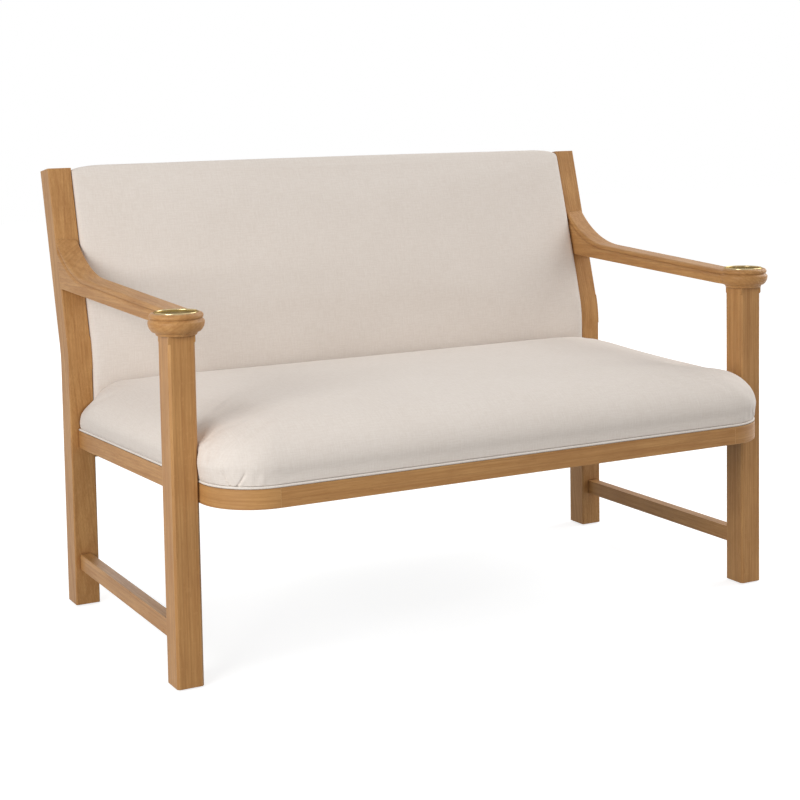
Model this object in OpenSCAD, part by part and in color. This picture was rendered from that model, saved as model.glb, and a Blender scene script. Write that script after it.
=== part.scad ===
// Upholstered open-arm settee with square posts, moulded arms and round arm ends.
// The settee faces -Y, +X is its left-hand end for a sitter, and the floor is at z = 0.

/* [Overall] */
// Width over the outer faces of the posts
width = 1300; // [1150:10:1700]
// Front face of the front posts to the back face of the back posts
depth = 630; // [590:5:700]
// Top of the round arm ends
arm_height = 661; // [645:1:690]
// Top of the back posts, at their front edge
back_height = 894; // [870:1:960]

/* [Posts] */
// Side of the square front post
front_post = 50; // [46:1:56]
// Back post, across the settee
back_post_w = 50; // [46:1:56]
// Back post, from front to back
back_post_d = 52; // [48:1:60]
// Chamfer down the two front corners of the front post
front_chamfer = 4; // [3:0.5:6]
// Small chamfer down the other corners of the posts
back_chamfer = 2; // [1:0.5:3]
// Square length left at the top of a front chamfer
chamfer_stop = 14; // [8:1:30]
// Height where the back post starts to lean
bend_height = 520; // [500:1:540]
// Lean of the back, in degrees
rake = 15.3; // [12:0.1:18]
// Inner radius of the bend in the back post
bend_radius = 200; // [150:10:260]
// Slope of the post top towards the back, in degrees
post_top_slope = 8; // [4:0.5:10]

/* [Arms] */
// Slope of the arm top down to the front, in degrees
arm_slope = 2.7; // [2:0.1:3.5]
// Slope of the underside of the arm, in degrees
arm_under_slope = 2.1; // [1.5:0.1:2.5]
// How far the arm turns in towards the front, in degrees
arm_toe = 2.25; // [0:0.05:2.4]
// Thickness of the arm at its round end
arm_thick = 29.5; // [28:0.5:32]
// Radius of the bead along the top edge
bead_r = 5.5; // [4.5:0.5:6]
// Radius of the round moulding below the bead
bulge_r = 5.5; // [5:0.5:6.5]
// How far the bead stands inside the moulding below it
bead_inset = 2; // [1.5:0.5:3]
// Radius of the round arm end
knob_r = 49.5; // [47:0.5:54]
// Radius of the belly below its moulding
knob_belly_r = 21; // [18:1:21]
// Depth of the round arm end, with its neck
knob_depth = 38.5; // [38:0.5:42]
// Radius of the sweep at the back of the arm
sweep_radius = 240; // [225:5:270]
// Where the sweep starts, from the front of the front posts
sweep_start = 482; // [470:1:490]
// Height of the small ledge at the top of the sweep, above the round end
ledge_rise = 94; // [88:1:98]

/* [Brass cups] */
// Outer radius of the brass cup
cup_r = 39; // [36:0.5:40]
// Depth of the dish below the arm top
cup_floor = 1.6; // [1.2:0.1:1.8]
// Thickness of the brass
cup_wall = 1.2; // [1:0.1:1.6]
// Radius of the rolled rim
cup_rim_r = 1.7; // [1.2:0.1:2]

/* [Seat frame] */
// Underside of the seat rails
rail_under = 328; // [315:1:345]
// Height of the seat rails
rail_h = 35; // [32:1:42]
// Thickness of the seat rails
rail_t = 28; // [24:1:32]
// Front rail, forward of the front posts
rail_overhang = 108; // [108:1:130]
// Radius of the front corners of the seat
corner_r = 106; // [90:1:106]
// Side rail, in from the outer face of the back post
rail_inset_back = 16; // [12:1:20]
// Depth of the back seat rail
back_rail_h = 60; // [50:1:80]

/* [Stretchers] */
// Underside of the side stretchers
stretcher_under = 77; // [50:1:140]
// Height of the side stretchers
stretcher_h = 31; // [26:1:44]
// Thickness of the side stretchers
stretcher_t = 22; // [18:1:26]
// Stretcher, in from the outer face of the post
stretcher_inset = 11; // [8:1:16]

/* [Seat upholstery] */
// Top of the seat above the rails, at the middle
seat_crown = 118; // [100:1:130]
// Top of the rolled seat edge above the rails
seat_edge = 103; // [90:1:108]
// How far the seat edge bulges past the rails
seat_bulge = 8; // [4:1:12]
// How far in from the rails the rolled edge ends
seat_roll = 72; // [60:1:74]
// Diameter of the welt cord along the rails
welt_d = 4.8; // [4:0.2:6]
// Thickness of the seat cover and its wadding
cover_t = 7; // [5:0.5:9]

/* [Back upholstery] */
// How far the middle of the back stands in front of the posts
back_proud = 36; // [30:1:40]
// How far its sides stand in front of the posts
back_side_proud = 17; // [14:1:20]
// Top of the back above the post tops
back_over = 9; // [6:1:14]
// Radius of its rounded top edge
back_roll = 22; // [16:1:26]

/* [Straps and fasteners] */
// Number of straps under the seat
seat_straps = 9; // [7:1:11]
// Number of straps in the back
back_straps = 7; // [5:1:9]
// Width of a strap
strap_w = 60; // [50:1:70]
// Thickness of a strap
strap_t = 2; // [1.5:0.1:3]
// Diameter of the wooden dowels in the rails
dowel_d = 8; // [7:0.5:9]
// Diameter of the arm dowel
arm_dowel_d = 12; // [10:1:14]
// Diameter of the screws in the corner blocks
screw_d = 4; // [3.5:0.5:5]
// Diameter of the bolts in the front posts and arms
bolt_d = 6; // [5:0.5:7]
// Height of the foot glides
glide_h = 3; // [2:0.5:5]

/* [Hidden] */
fit = 0.15;
soft_gap = 0.3;
bore_room = 1;
past = 1;
big = 2000;

half_w = width / 2;
post_in = half_w - front_post;
post_mid = half_w - front_post / 2;
knob_y = front_post / 2;
back_y = depth - back_post_d;
back_in = half_w - back_post_w;
rail_top = rail_under + rail_h;

// Line of the side rails: flush with the inner face of the front post, then
// widening to the inset at the back post.
side_front_x = post_in;
side_back_x = half_w - rail_inset_back;
side_angle = atan((side_back_x - side_front_x) / back_y);
corner_y = corner_r - rail_overhang;
corner_x = side_x(corner_y) - corner_r / cos(side_angle);
joint_y = front_post / 2;
function side_x(y) = side_front_x + y * tan(side_angle);
function inner_x(y, d) = side_x(y) - d / cos(side_angle);

// Bent line of the back post: distance s runs up its front face from the start
// of the bend, and w runs back from that face.
bend_r_front = bend_radius + back_post_d;
bend_tangent = bend_r_front * tan(rake / 2);
bend_z = bend_height - bend_tangent;
bend_len = bend_r_front * rake * PI / 180;
post_top_s = (back_height - bend_height) / cos(rake) - bend_tangent + bend_len;
function rake_point(u, w) = [
    back_y + w * cos(rake) + u * sin(rake),
    bend_height - w * sin(rake) + u * cos(rake)
];
function spine(s, w) =
    s <= 0 ? [back_y + w, bend_z + s]
    : s >= bend_len ? rake_point(s - bend_len + bend_tangent, w)
    : let (a = 180 - s / bend_len * rake)
      [back_y + bend_r_front + (bend_r_front - w) * cos(a), bend_z + (bend_r_front - w) * sin(a)];
function spine_line(s0, s1, w) = concat(
    [spine(s0, w)],
    [for (i = [0:6]) spine(bend_len * i / 6, w)],
    [spine(s1, w)]
);
function flip(list) = [for (i = [len(list) - 1:-1:0]) list[i]];
function bent_strip(s0, s1, s1_back, w0, w1) =
    concat(spine_line(s0, s1, w0), flip(spine_line(s0, s1_back, w1)));
top_lean = tan(rake - post_top_slope);

// The part's own frame: middle of its bounding box, on the floor.
front_most = -rail_overhang - seat_bulge;
back_most = rake_point((back_height - bend_height) / cos(rake) + back_post_d * top_lean, back_post_d)[0];
mid_y = (front_most + back_most) / 2;

// Side view of the arm: its slopes start at the back edge of the round end, whose top stands a
// little above the arm
knob_back = knob_y + knob_r;
knob_lip = 0.8;
function arm_top(y) = arm_height - knob_lip + (y - knob_back) * tan(arm_slope);
function arm_under(y) = arm_height - arm_thick + (y - knob_back) * tan(arm_under_slope);
sweep_angle = 60;
arm_half = front_post / 2;
moulding_turn = 54;
bulge_at = 2 * bead_r + bulge_r;
belly_turn = 50;
arm_deep = 70;
arm_run_on = 120;
arm_turn_y = back_y + (arm_height - arm_thick - bend_height) * tan(rake);
blend_l = 0.55 * knob_r;
blend_angle = 8;
knob_neck_r = front_post / sqrt(2) + soft_gap;
neck_flare = 2;
neck_h = 5;
cup_lip = 0.4;
dish_inset = 1;

// Joinery
tenon_l = 20;
shoulder_y = 6;
shoulder_z = 8;
stretcher_shoulder = 5;
stretcher_mid_x = half_w - stretcher_inset - stretcher_t / 2;
outside_t = 7;
outside_inset = 1;
outside_w0 = back_post_d - outside_t - outside_inset;
back_rail_w0 = 12;
back_rail_t = outside_w0 - soft_gap - back_rail_w0;
inner_rail_w0 = 10;
inner_rail_t = outside_w0 - soft_gap - inner_rail_w0;
lower_rail_above = 32;
lower_rail_z = rail_top + lower_rail_above;
lower_rail_h = 50;
top_rail_drop = 8;
top_rail_u1 = (back_height - bend_height) / cos(rake) - top_rail_drop;
top_rail_h = 52;
rail_dowel_in = 8;
rail_dowel_z = [rail_under + rail_dowel_in, rail_top - rail_dowel_in];
front_dowel_l = 50;
side_dowel_l = 44;
arm_dowel_down = 25;
arm_dowel_up = 21;
rail_mid_z = rail_under + rail_h / 2;
screw_head = 2 * screw_d;
screw_head_h = 3;
head_run = 40;
screw_bite = 20;
post_bite = 16;
front_head_in = 12;
back_head_in = 14;
bolt_head = 2 * bolt_d;
bolt_head_h = 4;
bolt_sink = 5;
bolt_y = front_post - 10;
arm_bolt_sink = 10;
arm_bolt_bite = 42;
arm_bolt_rise = [1, 24];
arm_bolt_u = [for (rise = arm_bolt_rise) (arm_height + rise - bend_height) / cos(rake)];
plug_room = 0.5;
glide_r = 11;
glide_pin = 5;
glide_pin_l = 15;

// Upholstery
welt_room = 0.2;
welt_ease = 12;
dust_t = 1.5;
dust_inset = 9;
dust_lap = 40;
outside_below = 32;
outside_top_in = 6;
back_half = back_in - soft_gap;
back_bottom_above = 40;
back_bottom_s = rail_top + back_bottom_above - bend_z;
strap_lap_low = 10;
strap_lap_top = 20;

// Shared helpers: side = 1 is the end at +X, side = -1 its mirror image.
module place() {
    translate([0, -mid_y, 0]) children();
}

module at_side(side) {
    place() mirror([side < 0 ? 1 : 0, 0, 0]) children();
}

module side_prism(points, x0, x1) {
    translate([x0, 0, 0]) rotate([90, 0, 90]) linear_extrude(x1 - x0) polygon(points);
}

module at_knob() {
    translate([post_mid, knob_y, arm_height]) children();
}

// Turns an arm in plan about its joint with the back post, in towards the front
module turned_in() {
    translate([post_mid, arm_turn_y, 0]) rotate([0, 0, -arm_toe])
        translate([-post_mid, -arm_turn_y, 0]) children();
}

module at_rake(x, u, w) {
    translate([x, rake_point(u, w)[0], rake_point(u, w)[1]]) rotate([-rake, 0, 0]) children();
}

// Outline of the seat frame, drawn in by d, from its rounded front to y_end
module frame_outline(d, y_end) {
    r = corner_r - d;
    tip = [corner_x + r * cos(side_angle), corner_y - r * sin(side_angle)];
    for (side = [-1, 1]) translate([side * corner_x, corner_y]) circle(r, $fn = 128);
    polygon([
        [-corner_x, d - rail_overhang], [corner_x, d - rail_overhang], tip,
        [inner_x(y_end, d), y_end], [-inner_x(y_end, d), y_end], [-tip[0], tip[1]]
    ]);
}

// Front posts: each corner's chamfer runs up from the floor and ends in a slope
module chamfer_cut(angle, size) {
    reach = front_post / sqrt(2);
    into = size / sqrt(2);
    top = arm_height - knob_depth - chamfer_stop;
    rotate([0, 0, angle]) rotate([90, 0, 0]) linear_extrude(4 * size, center = true) polygon([
        [reach + size, 0], [reach + size, top + size + into], [reach - into, top], [reach - into, 0]
    ]);
}

module stretcher_tenon(y, gap) {
    translate([stretcher_mid_x, y, stretcher_under + stretcher_h / 2])
        cube([stretcher_t / 2 + gap, 2 * tenon_l + gap, stretcher_h - 2 * stretcher_shoulder + gap],
            center = true);
}

module glide_bore(x, y) {
    translate([x, y, 0]) cylinder(h = glide_h + glide_pin_l + bore_room, d = glide_pin + 2 * fit, $fn = 32);
}

module arm_dowel(gap, room) {
    at_knob() translate([0, 0, -knob_depth - arm_dowel_down - room])
        cylinder(h = arm_dowel_down + arm_dowel_up + 2 * room, d = arm_dowel_d + gap, $fn = 48);
}

module front_post(side) {
    color("burlywood") at_side(side) difference() {
        translate([post_in, 0, glide_h]) cube([front_post, front_post, arm_height]);
        at_knob() translate([-big / 2, -big / 2, -knob_depth]) cube(big);
        translate([post_mid, knob_y, 0]) for (a = [45, 135]) {
            chamfer_cut(a, back_chamfer);
            chamfer_cut(a + 180, front_chamfer);
        }
        stretcher_tenon(front_post, 2 * fit);
        arm_dowel(2 * fit, bore_room);
        glide_bore(post_mid, knob_y);
        post_bolt(2 * fit, 1);
        side_screw(2 * fit);
    }
}

// Back posts: one sawn board each, upright below and leaning above
module back_post(side) {
    color("burlywood") at_side(side) difference() {
        side_prism(bent_strip(glide_h - bend_z, post_top_s, post_top_s + back_post_d * top_lean,
            0, back_post_d), back_in, half_w);
        for (x = [back_in, half_w]) arris_cut(x);
        stretcher_tenon(back_y, 2 * fit);
        glide_bore(half_w - back_post_w / 2, back_y + back_post_d / 2);
        back_rail_tongue(2 * fit);
        lower_rail_tongue(2 * fit);
        top_rail_tongue(2 * fit);
        arm_bolt_shape(2 * fit);
    }
}

// Small chamfer along the two front corners of a back post
module arris_cut(x) {
    c = back_chamfer;
    translate([x, back_y, 0]) rotate([0, 0, 45])
        translate([-c / sqrt(2), -c / sqrt(2), 0]) cube([c * sqrt(2), c * sqrt(2), bend_z]);
    at_rake(x, bend_tangent, 0) rotate([0, 0, 45])
        translate([-c / sqrt(2), -c / sqrt(2), 0]) cube([c * sqrt(2), c * sqrt(2), post_top_s]);
}

// Arms: the same bead and moulding runs along the arm, up the sweep and round the end
function arc(cx, cy, r, a0, a1, n) =
    [for (i = [0:n]) let (a = a0 + (a1 - a0) * i / n) [cx + r * cos(a), cy + r * sin(a)]];
function moulding(half) = concat(
    arc(half - bead_inset - bead_r, -bead_r, bead_r, 90, -moulding_turn, 6),
    arc(half - bulge_r, -bulge_at, bulge_r, moulding_turn, 0, 4)
);

// Section across the arm, deeper than the arm: its underside is cut afterwards
module arm_section() {
    right = concat(moulding(arm_half), [[arm_half, -arm_deep]]);
    polygon(concat(right, flip([for (p = right) [-p[0], p[1]]])));
}

// The arm's moulded length: straight, then up the sweep. It is drawn level, with the start of the
// sweep at its origin, and tilted as a whole.
module arm_length() {
    run = (sweep_start - knob_y) / cos(arm_slope);
    translate([post_mid, sweep_start, arm_top(sweep_start)]) rotate([arm_slope, 0, 0]) {
        rotate([90, 0, 0]) linear_extrude(run) arm_section();
        translate([0, 0, sweep_radius]) rotate([-90, 0, 0]) rotate([90, 0, 90])
            rotate_extrude(angle = sweep_angle, $fn = 256)
            translate([sweep_radius, 0]) rotate([0, 0, 90]) arm_section();
    }
}

// What lies below the arm's underside
module under_arm() {
    y_end = back_y + arm_run_on;
    side_prism([[-past, arm_under(-past)], [y_end, arm_under(y_end)], [y_end, -past], [-past, -past]],
        post_in - past, half_w + past);
}

module knob() {
    at_knob() rotate_extrude($fn = 160) polygon(concat(
        [[0, 0]],
        moulding(knob_r),
        arc(knob_r - knob_belly_r, -bulge_at, knob_belly_r, -belly_turn / 5, -belly_turn, 4),
        [[knob_neck_r + neck_flare, neck_h - knob_depth], [knob_neck_r, -knob_depth], [0, -knob_depth]]
    ));
}

// The arm's inner side eases into the belly of the round end
module inner_ease() {
    translate([post_in, knob_y + blend_l, 0]) rotate([0, 0, blend_angle])
        translate([-big, past - big, 0]) cube(big);
}

module arm(side) {
    color("burlywood") at_side(side) difference() {
        union() {
            turned_in() difference() {
                arm_length();
                translate([0, 0, arm_height + ledge_rise]) cube(big);
                under_arm();
                inner_ease();
            }
            knob();
        }
        at_rake(post_mid, 0, 0) translate([-big / 2, 0, -big / 2]) cube(big);
        at_knob() translate([0, 0, -cup_floor - cup_wall - fit])
            cylinder(h = knob_depth, r = cup_r + fit, $fn = 160);
        arm_dowel(2 * fit, bore_room);
        arm_bolt_shape(2 * fit);
    }
}

// Brass cup let into the round end of the arm: a shallow dish with a rolled rim
module brass_cup(side) {
    bottom = -cup_floor - cup_wall;
    rim_x = cup_r - cup_rim_r;
    dish_r = rim_x - dish_inset;
    color("goldenrod") at_side(side) at_knob() rotate_extrude($fn = 160) {
        translate([rim_x, cup_lip]) circle(cup_rim_r, $fn = 48);
        polygon(concat(
            [[0, bottom], [cup_r, bottom], [cup_r, cup_lip], [rim_x, cup_lip]],
            [for (t = [1, 0.95, 0.88, 0.78, 0.62, 0.4, 0])
                [t * dish_r, cup_lip - (cup_floor + cup_lip) * (1 - pow(t, 4))]]
        ));
    }
}

// Stretcher between the legs at each end, tenoned into both posts
module side_stretcher(side) {
    color("burlywood") at_side(side) {
        translate([stretcher_mid_x - stretcher_t / 2, front_post, stretcher_under])
            cube([stretcher_t, back_y - front_post, stretcher_h]);
        for (end = [[front_post, -1], [back_y, 1]]) intersection() {
            stretcher_tenon(end[0], 0);
            translate([0, end[1] > 0 ? end[0] : end[0] - 2 * tenon_l, 0])
                cube([half_w, 2 * tenon_l, arm_height]);
        }
    }
}

// Seat frame
module rail_pocket() {
    translate([post_in, 0, 0]) cube([front_post, front_post, arm_height]);
}

module front_joint_dowels(gap) {
    for (z = rail_dowel_z) translate([corner_x - front_dowel_l / 2, rail_t / 2 - rail_overhang, z])
        rotate([0, 90, 0]) cylinder(h = front_dowel_l, d = dowel_d + gap, $fn = 48);
}

module side_joint_dowels(gap) {
    for (z = rail_dowel_z) translate([inner_x(joint_y, rail_t / 2), joint_y, z])
        rotate([0, 0, -side_angle]) rotate([-90, 0, 0]) translate([0, 0, -side_dowel_l / 2])
        cylinder(h = side_dowel_l, d = dowel_d + gap, $fn = 48);
}

module front_rail() {
    color("burlywood") place() difference() {
        translate([-corner_x, -rail_overhang, rail_under]) cube([2 * corner_x, rail_t, rail_h]);
        for (m = [0, 1]) mirror([m, 0, 0]) {
            front_joint_dowels(2 * fit);
            front_screw(2 * fit);
        }
    }
}

module rail_corner(side) {
    color("burlywood") at_side(side) difference() {
        translate([0, 0, rail_under]) linear_extrude(rail_h) intersection() {
            difference() {
                frame_outline(0, back_y);
                frame_outline(rail_t, back_y + past);
            }
            translate([corner_x, -rail_overhang - past]) square([big, rail_overhang + past + joint_y]);
        }
        rail_pocket();
        front_joint_dowels(2 * fit);
        side_joint_dowels(2 * fit);
        side_screw(2 * fit);
    }
}

module side_rail(side) {
    color("burlywood") at_side(side) difference() {
        translate([0, 0, rail_under]) linear_extrude(rail_h) polygon([
            [inner_x(joint_y, rail_t), joint_y], [side_x(joint_y), joint_y],
            [side_x(back_y), back_y], [inner_x(back_y, rail_t), back_y]
        ]);
        rail_pocket();
        side_joint_dowels(2 * fit);
        post_bolt(2 * fit, 1);
        back_block_screws(2 * fit);
    }
}

// Tongue of a rail between the back posts: its section less the shoulders, with both tenons
module rail_tongue(thick, high, gap) {
    translate([-back_in - tenon_l - gap, shoulder_y - gap / 2, shoulder_z - gap / 2])
        cube([2 * (back_in + tenon_l + gap), thick - 2 * shoulder_y + gap, high - 2 * shoulder_z + gap]);
}

module back_rail_tongue(gap) {
    translate([0, back_y + back_rail_w0, rail_top - back_rail_h])
        rail_tongue(back_rail_t, back_rail_h, gap);
}

module back_rail() {
    color("burlywood") place() difference() {
        union() {
            back_rail_tongue(0);
            translate([-back_in, back_y + back_rail_w0, rail_top - back_rail_h])
                cube([2 * back_in, back_rail_t, back_rail_h]);
        }
        for (m = [0, 1]) mirror([m, 0, 0]) back_block_screws(2 * fit);
    }
}

// Blocks in the corners of the seat frame
block_clear = 5;
block_z = rail_under + block_clear;
block_h = rail_h - 2 * block_clear;
front_reach_x = 34;
front_reach_y = 26;
front_block_y = corner_y + front_reach_y;
back_reach = 60;
back_block_y = back_y - back_reach;
block_front = [
    [corner_x - front_reach_x, rail_t - rail_overhang], [corner_x, rail_t - rail_overhang],
    [inner_x(corner_y, rail_t), corner_y], [inner_x(front_block_y, rail_t), front_block_y]
];
block_back = [
    [inner_x(back_block_y, rail_t), back_block_y], [inner_x(back_y, rail_t), back_y], [back_in, back_y],
    [back_in, back_y + back_rail_w0], [back_in - back_reach, back_y + back_rail_w0]
];
front_screw_x = corner_x - 16;
side_screw_y = corner_y + 12;
back_screw_x = back_in - 32;
back_screw_y = back_y - 36;

module screw(length, gap) {
    run = head_run * sign(gap);
    cylinder(h = length, d = screw_d + gap, $fn = 32);
    translate([0, 0, -run]) cylinder(h = screw_head_h + run, d = screw_head + gap, $fn = 32);
}

module front_screw(gap) {
    translate([front_screw_x, rail_t - rail_overhang + front_head_in, rail_mid_z])
        rotate([90, 0, 0]) screw(front_head_in + screw_bite, gap);
}

module side_screw(gap) {
    translate([inner_x(side_screw_y, rail_t) - front_head_in, side_screw_y, rail_mid_z])
        rotate([0, 90, 0]) screw(front_head_in + rail_t + post_bite, gap);
}

module back_block_screws(gap) {
    length = back_head_in + screw_bite;
    translate([inner_x(back_screw_y, rail_t) - back_head_in, back_screw_y, rail_mid_z])
        rotate([0, 90, 0]) screw(length, gap);
    translate([back_screw_x, back_y + back_rail_w0 - back_head_in, rail_mid_z])
        rotate([-90, 0, 0]) screw(length, gap);
}

module front_block(side) {
    color("tan") at_side(side) difference() {
        translate([0, 0, block_z]) linear_extrude(block_h) polygon(block_front);
        front_screw(2 * fit);
        side_screw(2 * fit);
    }
}

module back_block(side) {
    color("tan") at_side(side) difference() {
        translate([0, 0, block_z]) linear_extrude(block_h) polygon(block_back);
        back_block_screws(2 * fit);
    }
}

// Rails inside the back, tenoned between the back posts
module lower_rail_tongue(gap) {
    translate([0, back_y + inner_rail_w0, lower_rail_z]) rail_tongue(inner_rail_t, lower_rail_h, gap);
}

module top_rail_tongue(gap) {
    at_rake(0, top_rail_u1 - top_rail_h, inner_rail_w0) rail_tongue(inner_rail_t, top_rail_h, gap);
}

module back_lower_rail() {
    color("tan") place() {
        lower_rail_tongue(0);
        translate([-back_in, back_y + inner_rail_w0, lower_rail_z])
            cube([2 * back_in, inner_rail_t, lower_rail_h]);
    }
}

module back_top_rail() {
    color("tan") place() {
        top_rail_tongue(0);
        at_rake(-back_in, top_rail_u1 - top_rail_h, inner_rail_w0)
            cube([2 * back_in, inner_rail_t, top_rail_h]);
    }
}

// Fasteners
module post_bolt(gap, cut) {
    head_x = inner_x(bolt_y, rail_t) + bolt_sink;
    run = bolt_head_h + bolt_sink * cut;
    translate([head_x, bolt_y, rail_mid_z]) rotate([0, 90, 0]) {
        cylinder(h = post_in + front_post / 2 - head_x + gap, d = bolt_d + gap, $fn = 48);
        translate([0, 0, -run]) cylinder(h = run, d = bolt_head + gap, $fn = 48);
    }
}

module arm_bolt_shape(gap) {
    from = back_post_d - arm_bolt_sink;
    run = bolt_head_h + arm_bolt_sink * sign(gap);
    for (u = arm_bolt_u) at_rake(post_mid, u, from) rotate([90, 0, 0]) {
        cylinder(h = from + arm_bolt_bite + gap, d = bolt_d + gap, $fn = 48);
        translate([0, 0, -run]) cylinder(h = run, d = bolt_head + gap, $fn = 48);
    }
}

module rail_dowels() {
    color("wheat") for (side = [-1, 1]) at_side(side) {
        front_joint_dowels(0);
        side_joint_dowels(0);
    }
}

module arm_dowels() {
    color("wheat") for (side = [-1, 1]) at_side(side) arm_dowel(0, 0);
}

module block_screws() {
    color("silver") for (side = [-1, 1]) at_side(side) {
        front_screw(0);
        side_screw(0);
        back_block_screws(0);
    }
}

module post_bolts() {
    color("silver") for (side = [-1, 1]) at_side(side) post_bolt(0, 0);
}

module arm_bolts() {
    color("silver") for (side = [-1, 1]) at_side(side) arm_bolt_shape(0);
}

// Wooden plugs over the arm bolts, flush with the back of the posts
module bolt_plugs() {
    color("burlywood") for (side = [-1, 1]) at_side(side)
        for (u = arm_bolt_u) at_rake(post_mid, u, back_post_d) rotate([90, 0, 0])
            cylinder(h = arm_bolt_sink - bolt_head_h - plug_room, d = bolt_head, $fn = 48);
}

module foot_glides() {
    color("dimgray") for (side = [-1, 1]) at_side(side)
        for (spot = [[post_mid, knob_y], [half_w - back_post_w / 2, back_y + back_post_d / 2]])
            translate([spot[0], spot[1], 0]) {
                cylinder(h = glide_h, r = glide_r, $fn = 64);
                cylinder(h = glide_h + glide_pin_l, d = glide_pin, $fn = 32);
            }
}

// Seat upholstery
module seat_webbing() {
    y0 = rail_t / 2 - rail_overhang;
    y1 = back_y + back_rail_w0 + back_rail_t / 2;
    pitch = 2 * (corner_x - strap_w / 2) / (seat_straps - 1);
    color("peru") place() for (i = [0:seat_straps - 1])
        translate([(i - (seat_straps - 1) / 2) * pitch - strap_w / 2, y0, rail_top])
            cube([strap_w, y1 - y0, strap_t]);
}

// How far the back upholstery stands out at x, and at s up its height
back_mid_s = (back_bottom_s + post_top_s) / 2;
back_half_s = (post_top_s - back_bottom_s) / 2;
back_edge_proud = 4;
back_edge_reach = 16;
back_crown = 0.35;
function proud_across(x) = let (a = min(1, (back_half - abs(x)) / back_edge_reach))
    back_edge_proud + (back_side_proud - back_edge_proud) * sqrt(1 - (1 - a) * (1 - a))
    + (back_proud - back_side_proud) * (1 - pow(x / back_half, 2));
function proud(x, s) = proud_across(x) * (1 - back_crown * pow((s - back_mid_s) / back_half_s, 2));
seat_top_s = rail_top + seat_crown - bend_z;

// One level of the seat form at height z, e inside its outer face: drawn in by d at the front
// and sides, by b at the back, and tucked in where the sides meet the back posts. It runs
// straight past the front posts.
arc_steps = 7;
front_steps = 8;
back_spread = [1, 0.985, 0.96, 0.9, 0.75, 0.5, 0.25, 0, -0.25, -0.5, -0.75, -0.9, -0.96, -0.985, -1];
tuck_reach = 90;
tuck_most = 45;
notch = soft_gap;
notch_wrap = 0.25;
notch_step = 0.6;
function tuck(y, z) =
    pow(max(0, 1 - (back_y - y) / tuck_reach), 2) * min(pow(max(0, z - rail_top) / 10, 2), tuck_most);
function seat_side_x(y, d, z) = inner_x(y, d + tuck(y, z));
function beside_post(x, y, e) =
    let (w = notch + notch_wrap * e)
    y >= -w && y <= front_post + w ? min(x, post_in - notch - e) : x;
function seat_side_ys(y1, e) =
    let (w = notch + notch_wrap * e, y2 = front_post + w + notch_step)
    concat([for (i = [0:4]) y1 + (y2 - y1) * i / 4], [front_post + w, -w, -w - notch_step]);
function seat_ring(d, b, z, e) =
    let (
        r = corner_r - d,
        x_back = seat_side_x(back_y, d, z),
        y1 = back_y - soft_gap - b - (x_back < back_half ? proud(x_back, seat_top_s) : 0),
        span = min(back_half, x_back - 0.5),
        right = concat(
            [for (y = seat_side_ys(y1, e)) [beside_post(seat_side_x(y, d, z), y, e), y, z]],
            [for (p = arc(corner_x, corner_y, r, -side_angle, -90, arc_steps)) [p[0], p[1], z]]
        )
    )
    concat(
        right,
        [for (i = [1:front_steps - 1]) [corner_x * (1 - 2 * i / front_steps), d - rail_overhang, z]],
        flip([for (p = right) [-p[0], p[1], z]]),
        [for (t = flip(back_spread)) [t * span, back_y - proud(t * span, seat_top_s) - soft_gap - b, z]]
    );
function shrink(ring, s, cy, z) = [for (p = ring) [p[0] * s, cy + (p[1] - cy) * s, z]];

// Solid through a stack of rings with the same number of points
module ring_stack(rings) {
    n = len(rings[0]);
    last = (len(rings) - 1) * n;
    polyhedron(
        [for (r = rings) each r],
        concat(
            [for (j = [0:n:last - n]) for (i = [0:n - 1])
                let (a = j + i, b = j + (i + 1) % n)
                each [[a, b + n, b], [a, a + n, b + n]]],
            [[for (i = [0:n - 1]) i]],
            [[for (i = [n - 1:-1:0]) last + i]]
        )
    );
}

// Seat form, e inside the outer face: the sides bulge past the rails, the edge rolls in over
// the top, and the middle is crowned.
seat_bulge_z = 34;
seat_crease = 12;
seat_low_inset = welt_d + 0.8;
seat_turn_h = 4;
function edge_z(t, e) = rail_top + seat_bulge_z + (seat_edge - seat_bulge_z - e) * sin(t);
function edge_inset(t, e) = e - seat_bulge + (seat_roll + seat_bulge) * (1 - cos(t));
function seat_rings(e, bottom, roll_steps, crown_steps) =
    let (
        top = seat_ring(edge_inset(90, e), e + seat_crease, edge_z(90, e), e),
        cy = (back_y - rail_overhang - back_proud) / 2
    )
    concat(
        [seat_ring(seat_low_inset + e, e, bottom, e)],
        e > 0 ? [] : [
            seat_ring(seat_low_inset, 0, rail_top + welt_d + welt_room, 0),
            seat_ring(1, 0, rail_top + welt_d + seat_turn_h, 0),
            seat_ring(-0.6 * seat_bulge, 0, rail_top + seat_bulge_z / 2, 0)
        ],
        [for (i = [0:roll_steps]) let (t = 90 * i / roll_steps)
            seat_ring(edge_inset(t, e), e + seat_crease * (1 - cos(t)), edge_z(t, e), e)],
        [for (i = [1:crown_steps]) let (s = 1 - 0.7 * i / crown_steps)
            shrink(top, s, cy, edge_z(90, e) + (seat_crown - seat_edge) * (1 - s * s))]
    );

module seat_foam() {
    color("lightyellow") place()
        ring_stack(seat_rings(cover_t + soft_gap, rail_top + strap_t + soft_gap, 3, 1));
}

// Thin cover, open underneath: down its inside and up its outside
module seat_cover() {
    bottom = rail_top + soft_gap;
    color("linen") place()
        ring_stack(concat(flip(seat_rings(cover_t, bottom, 3, 1)), seat_rings(0, bottom, 7, 4)));
}

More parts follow.
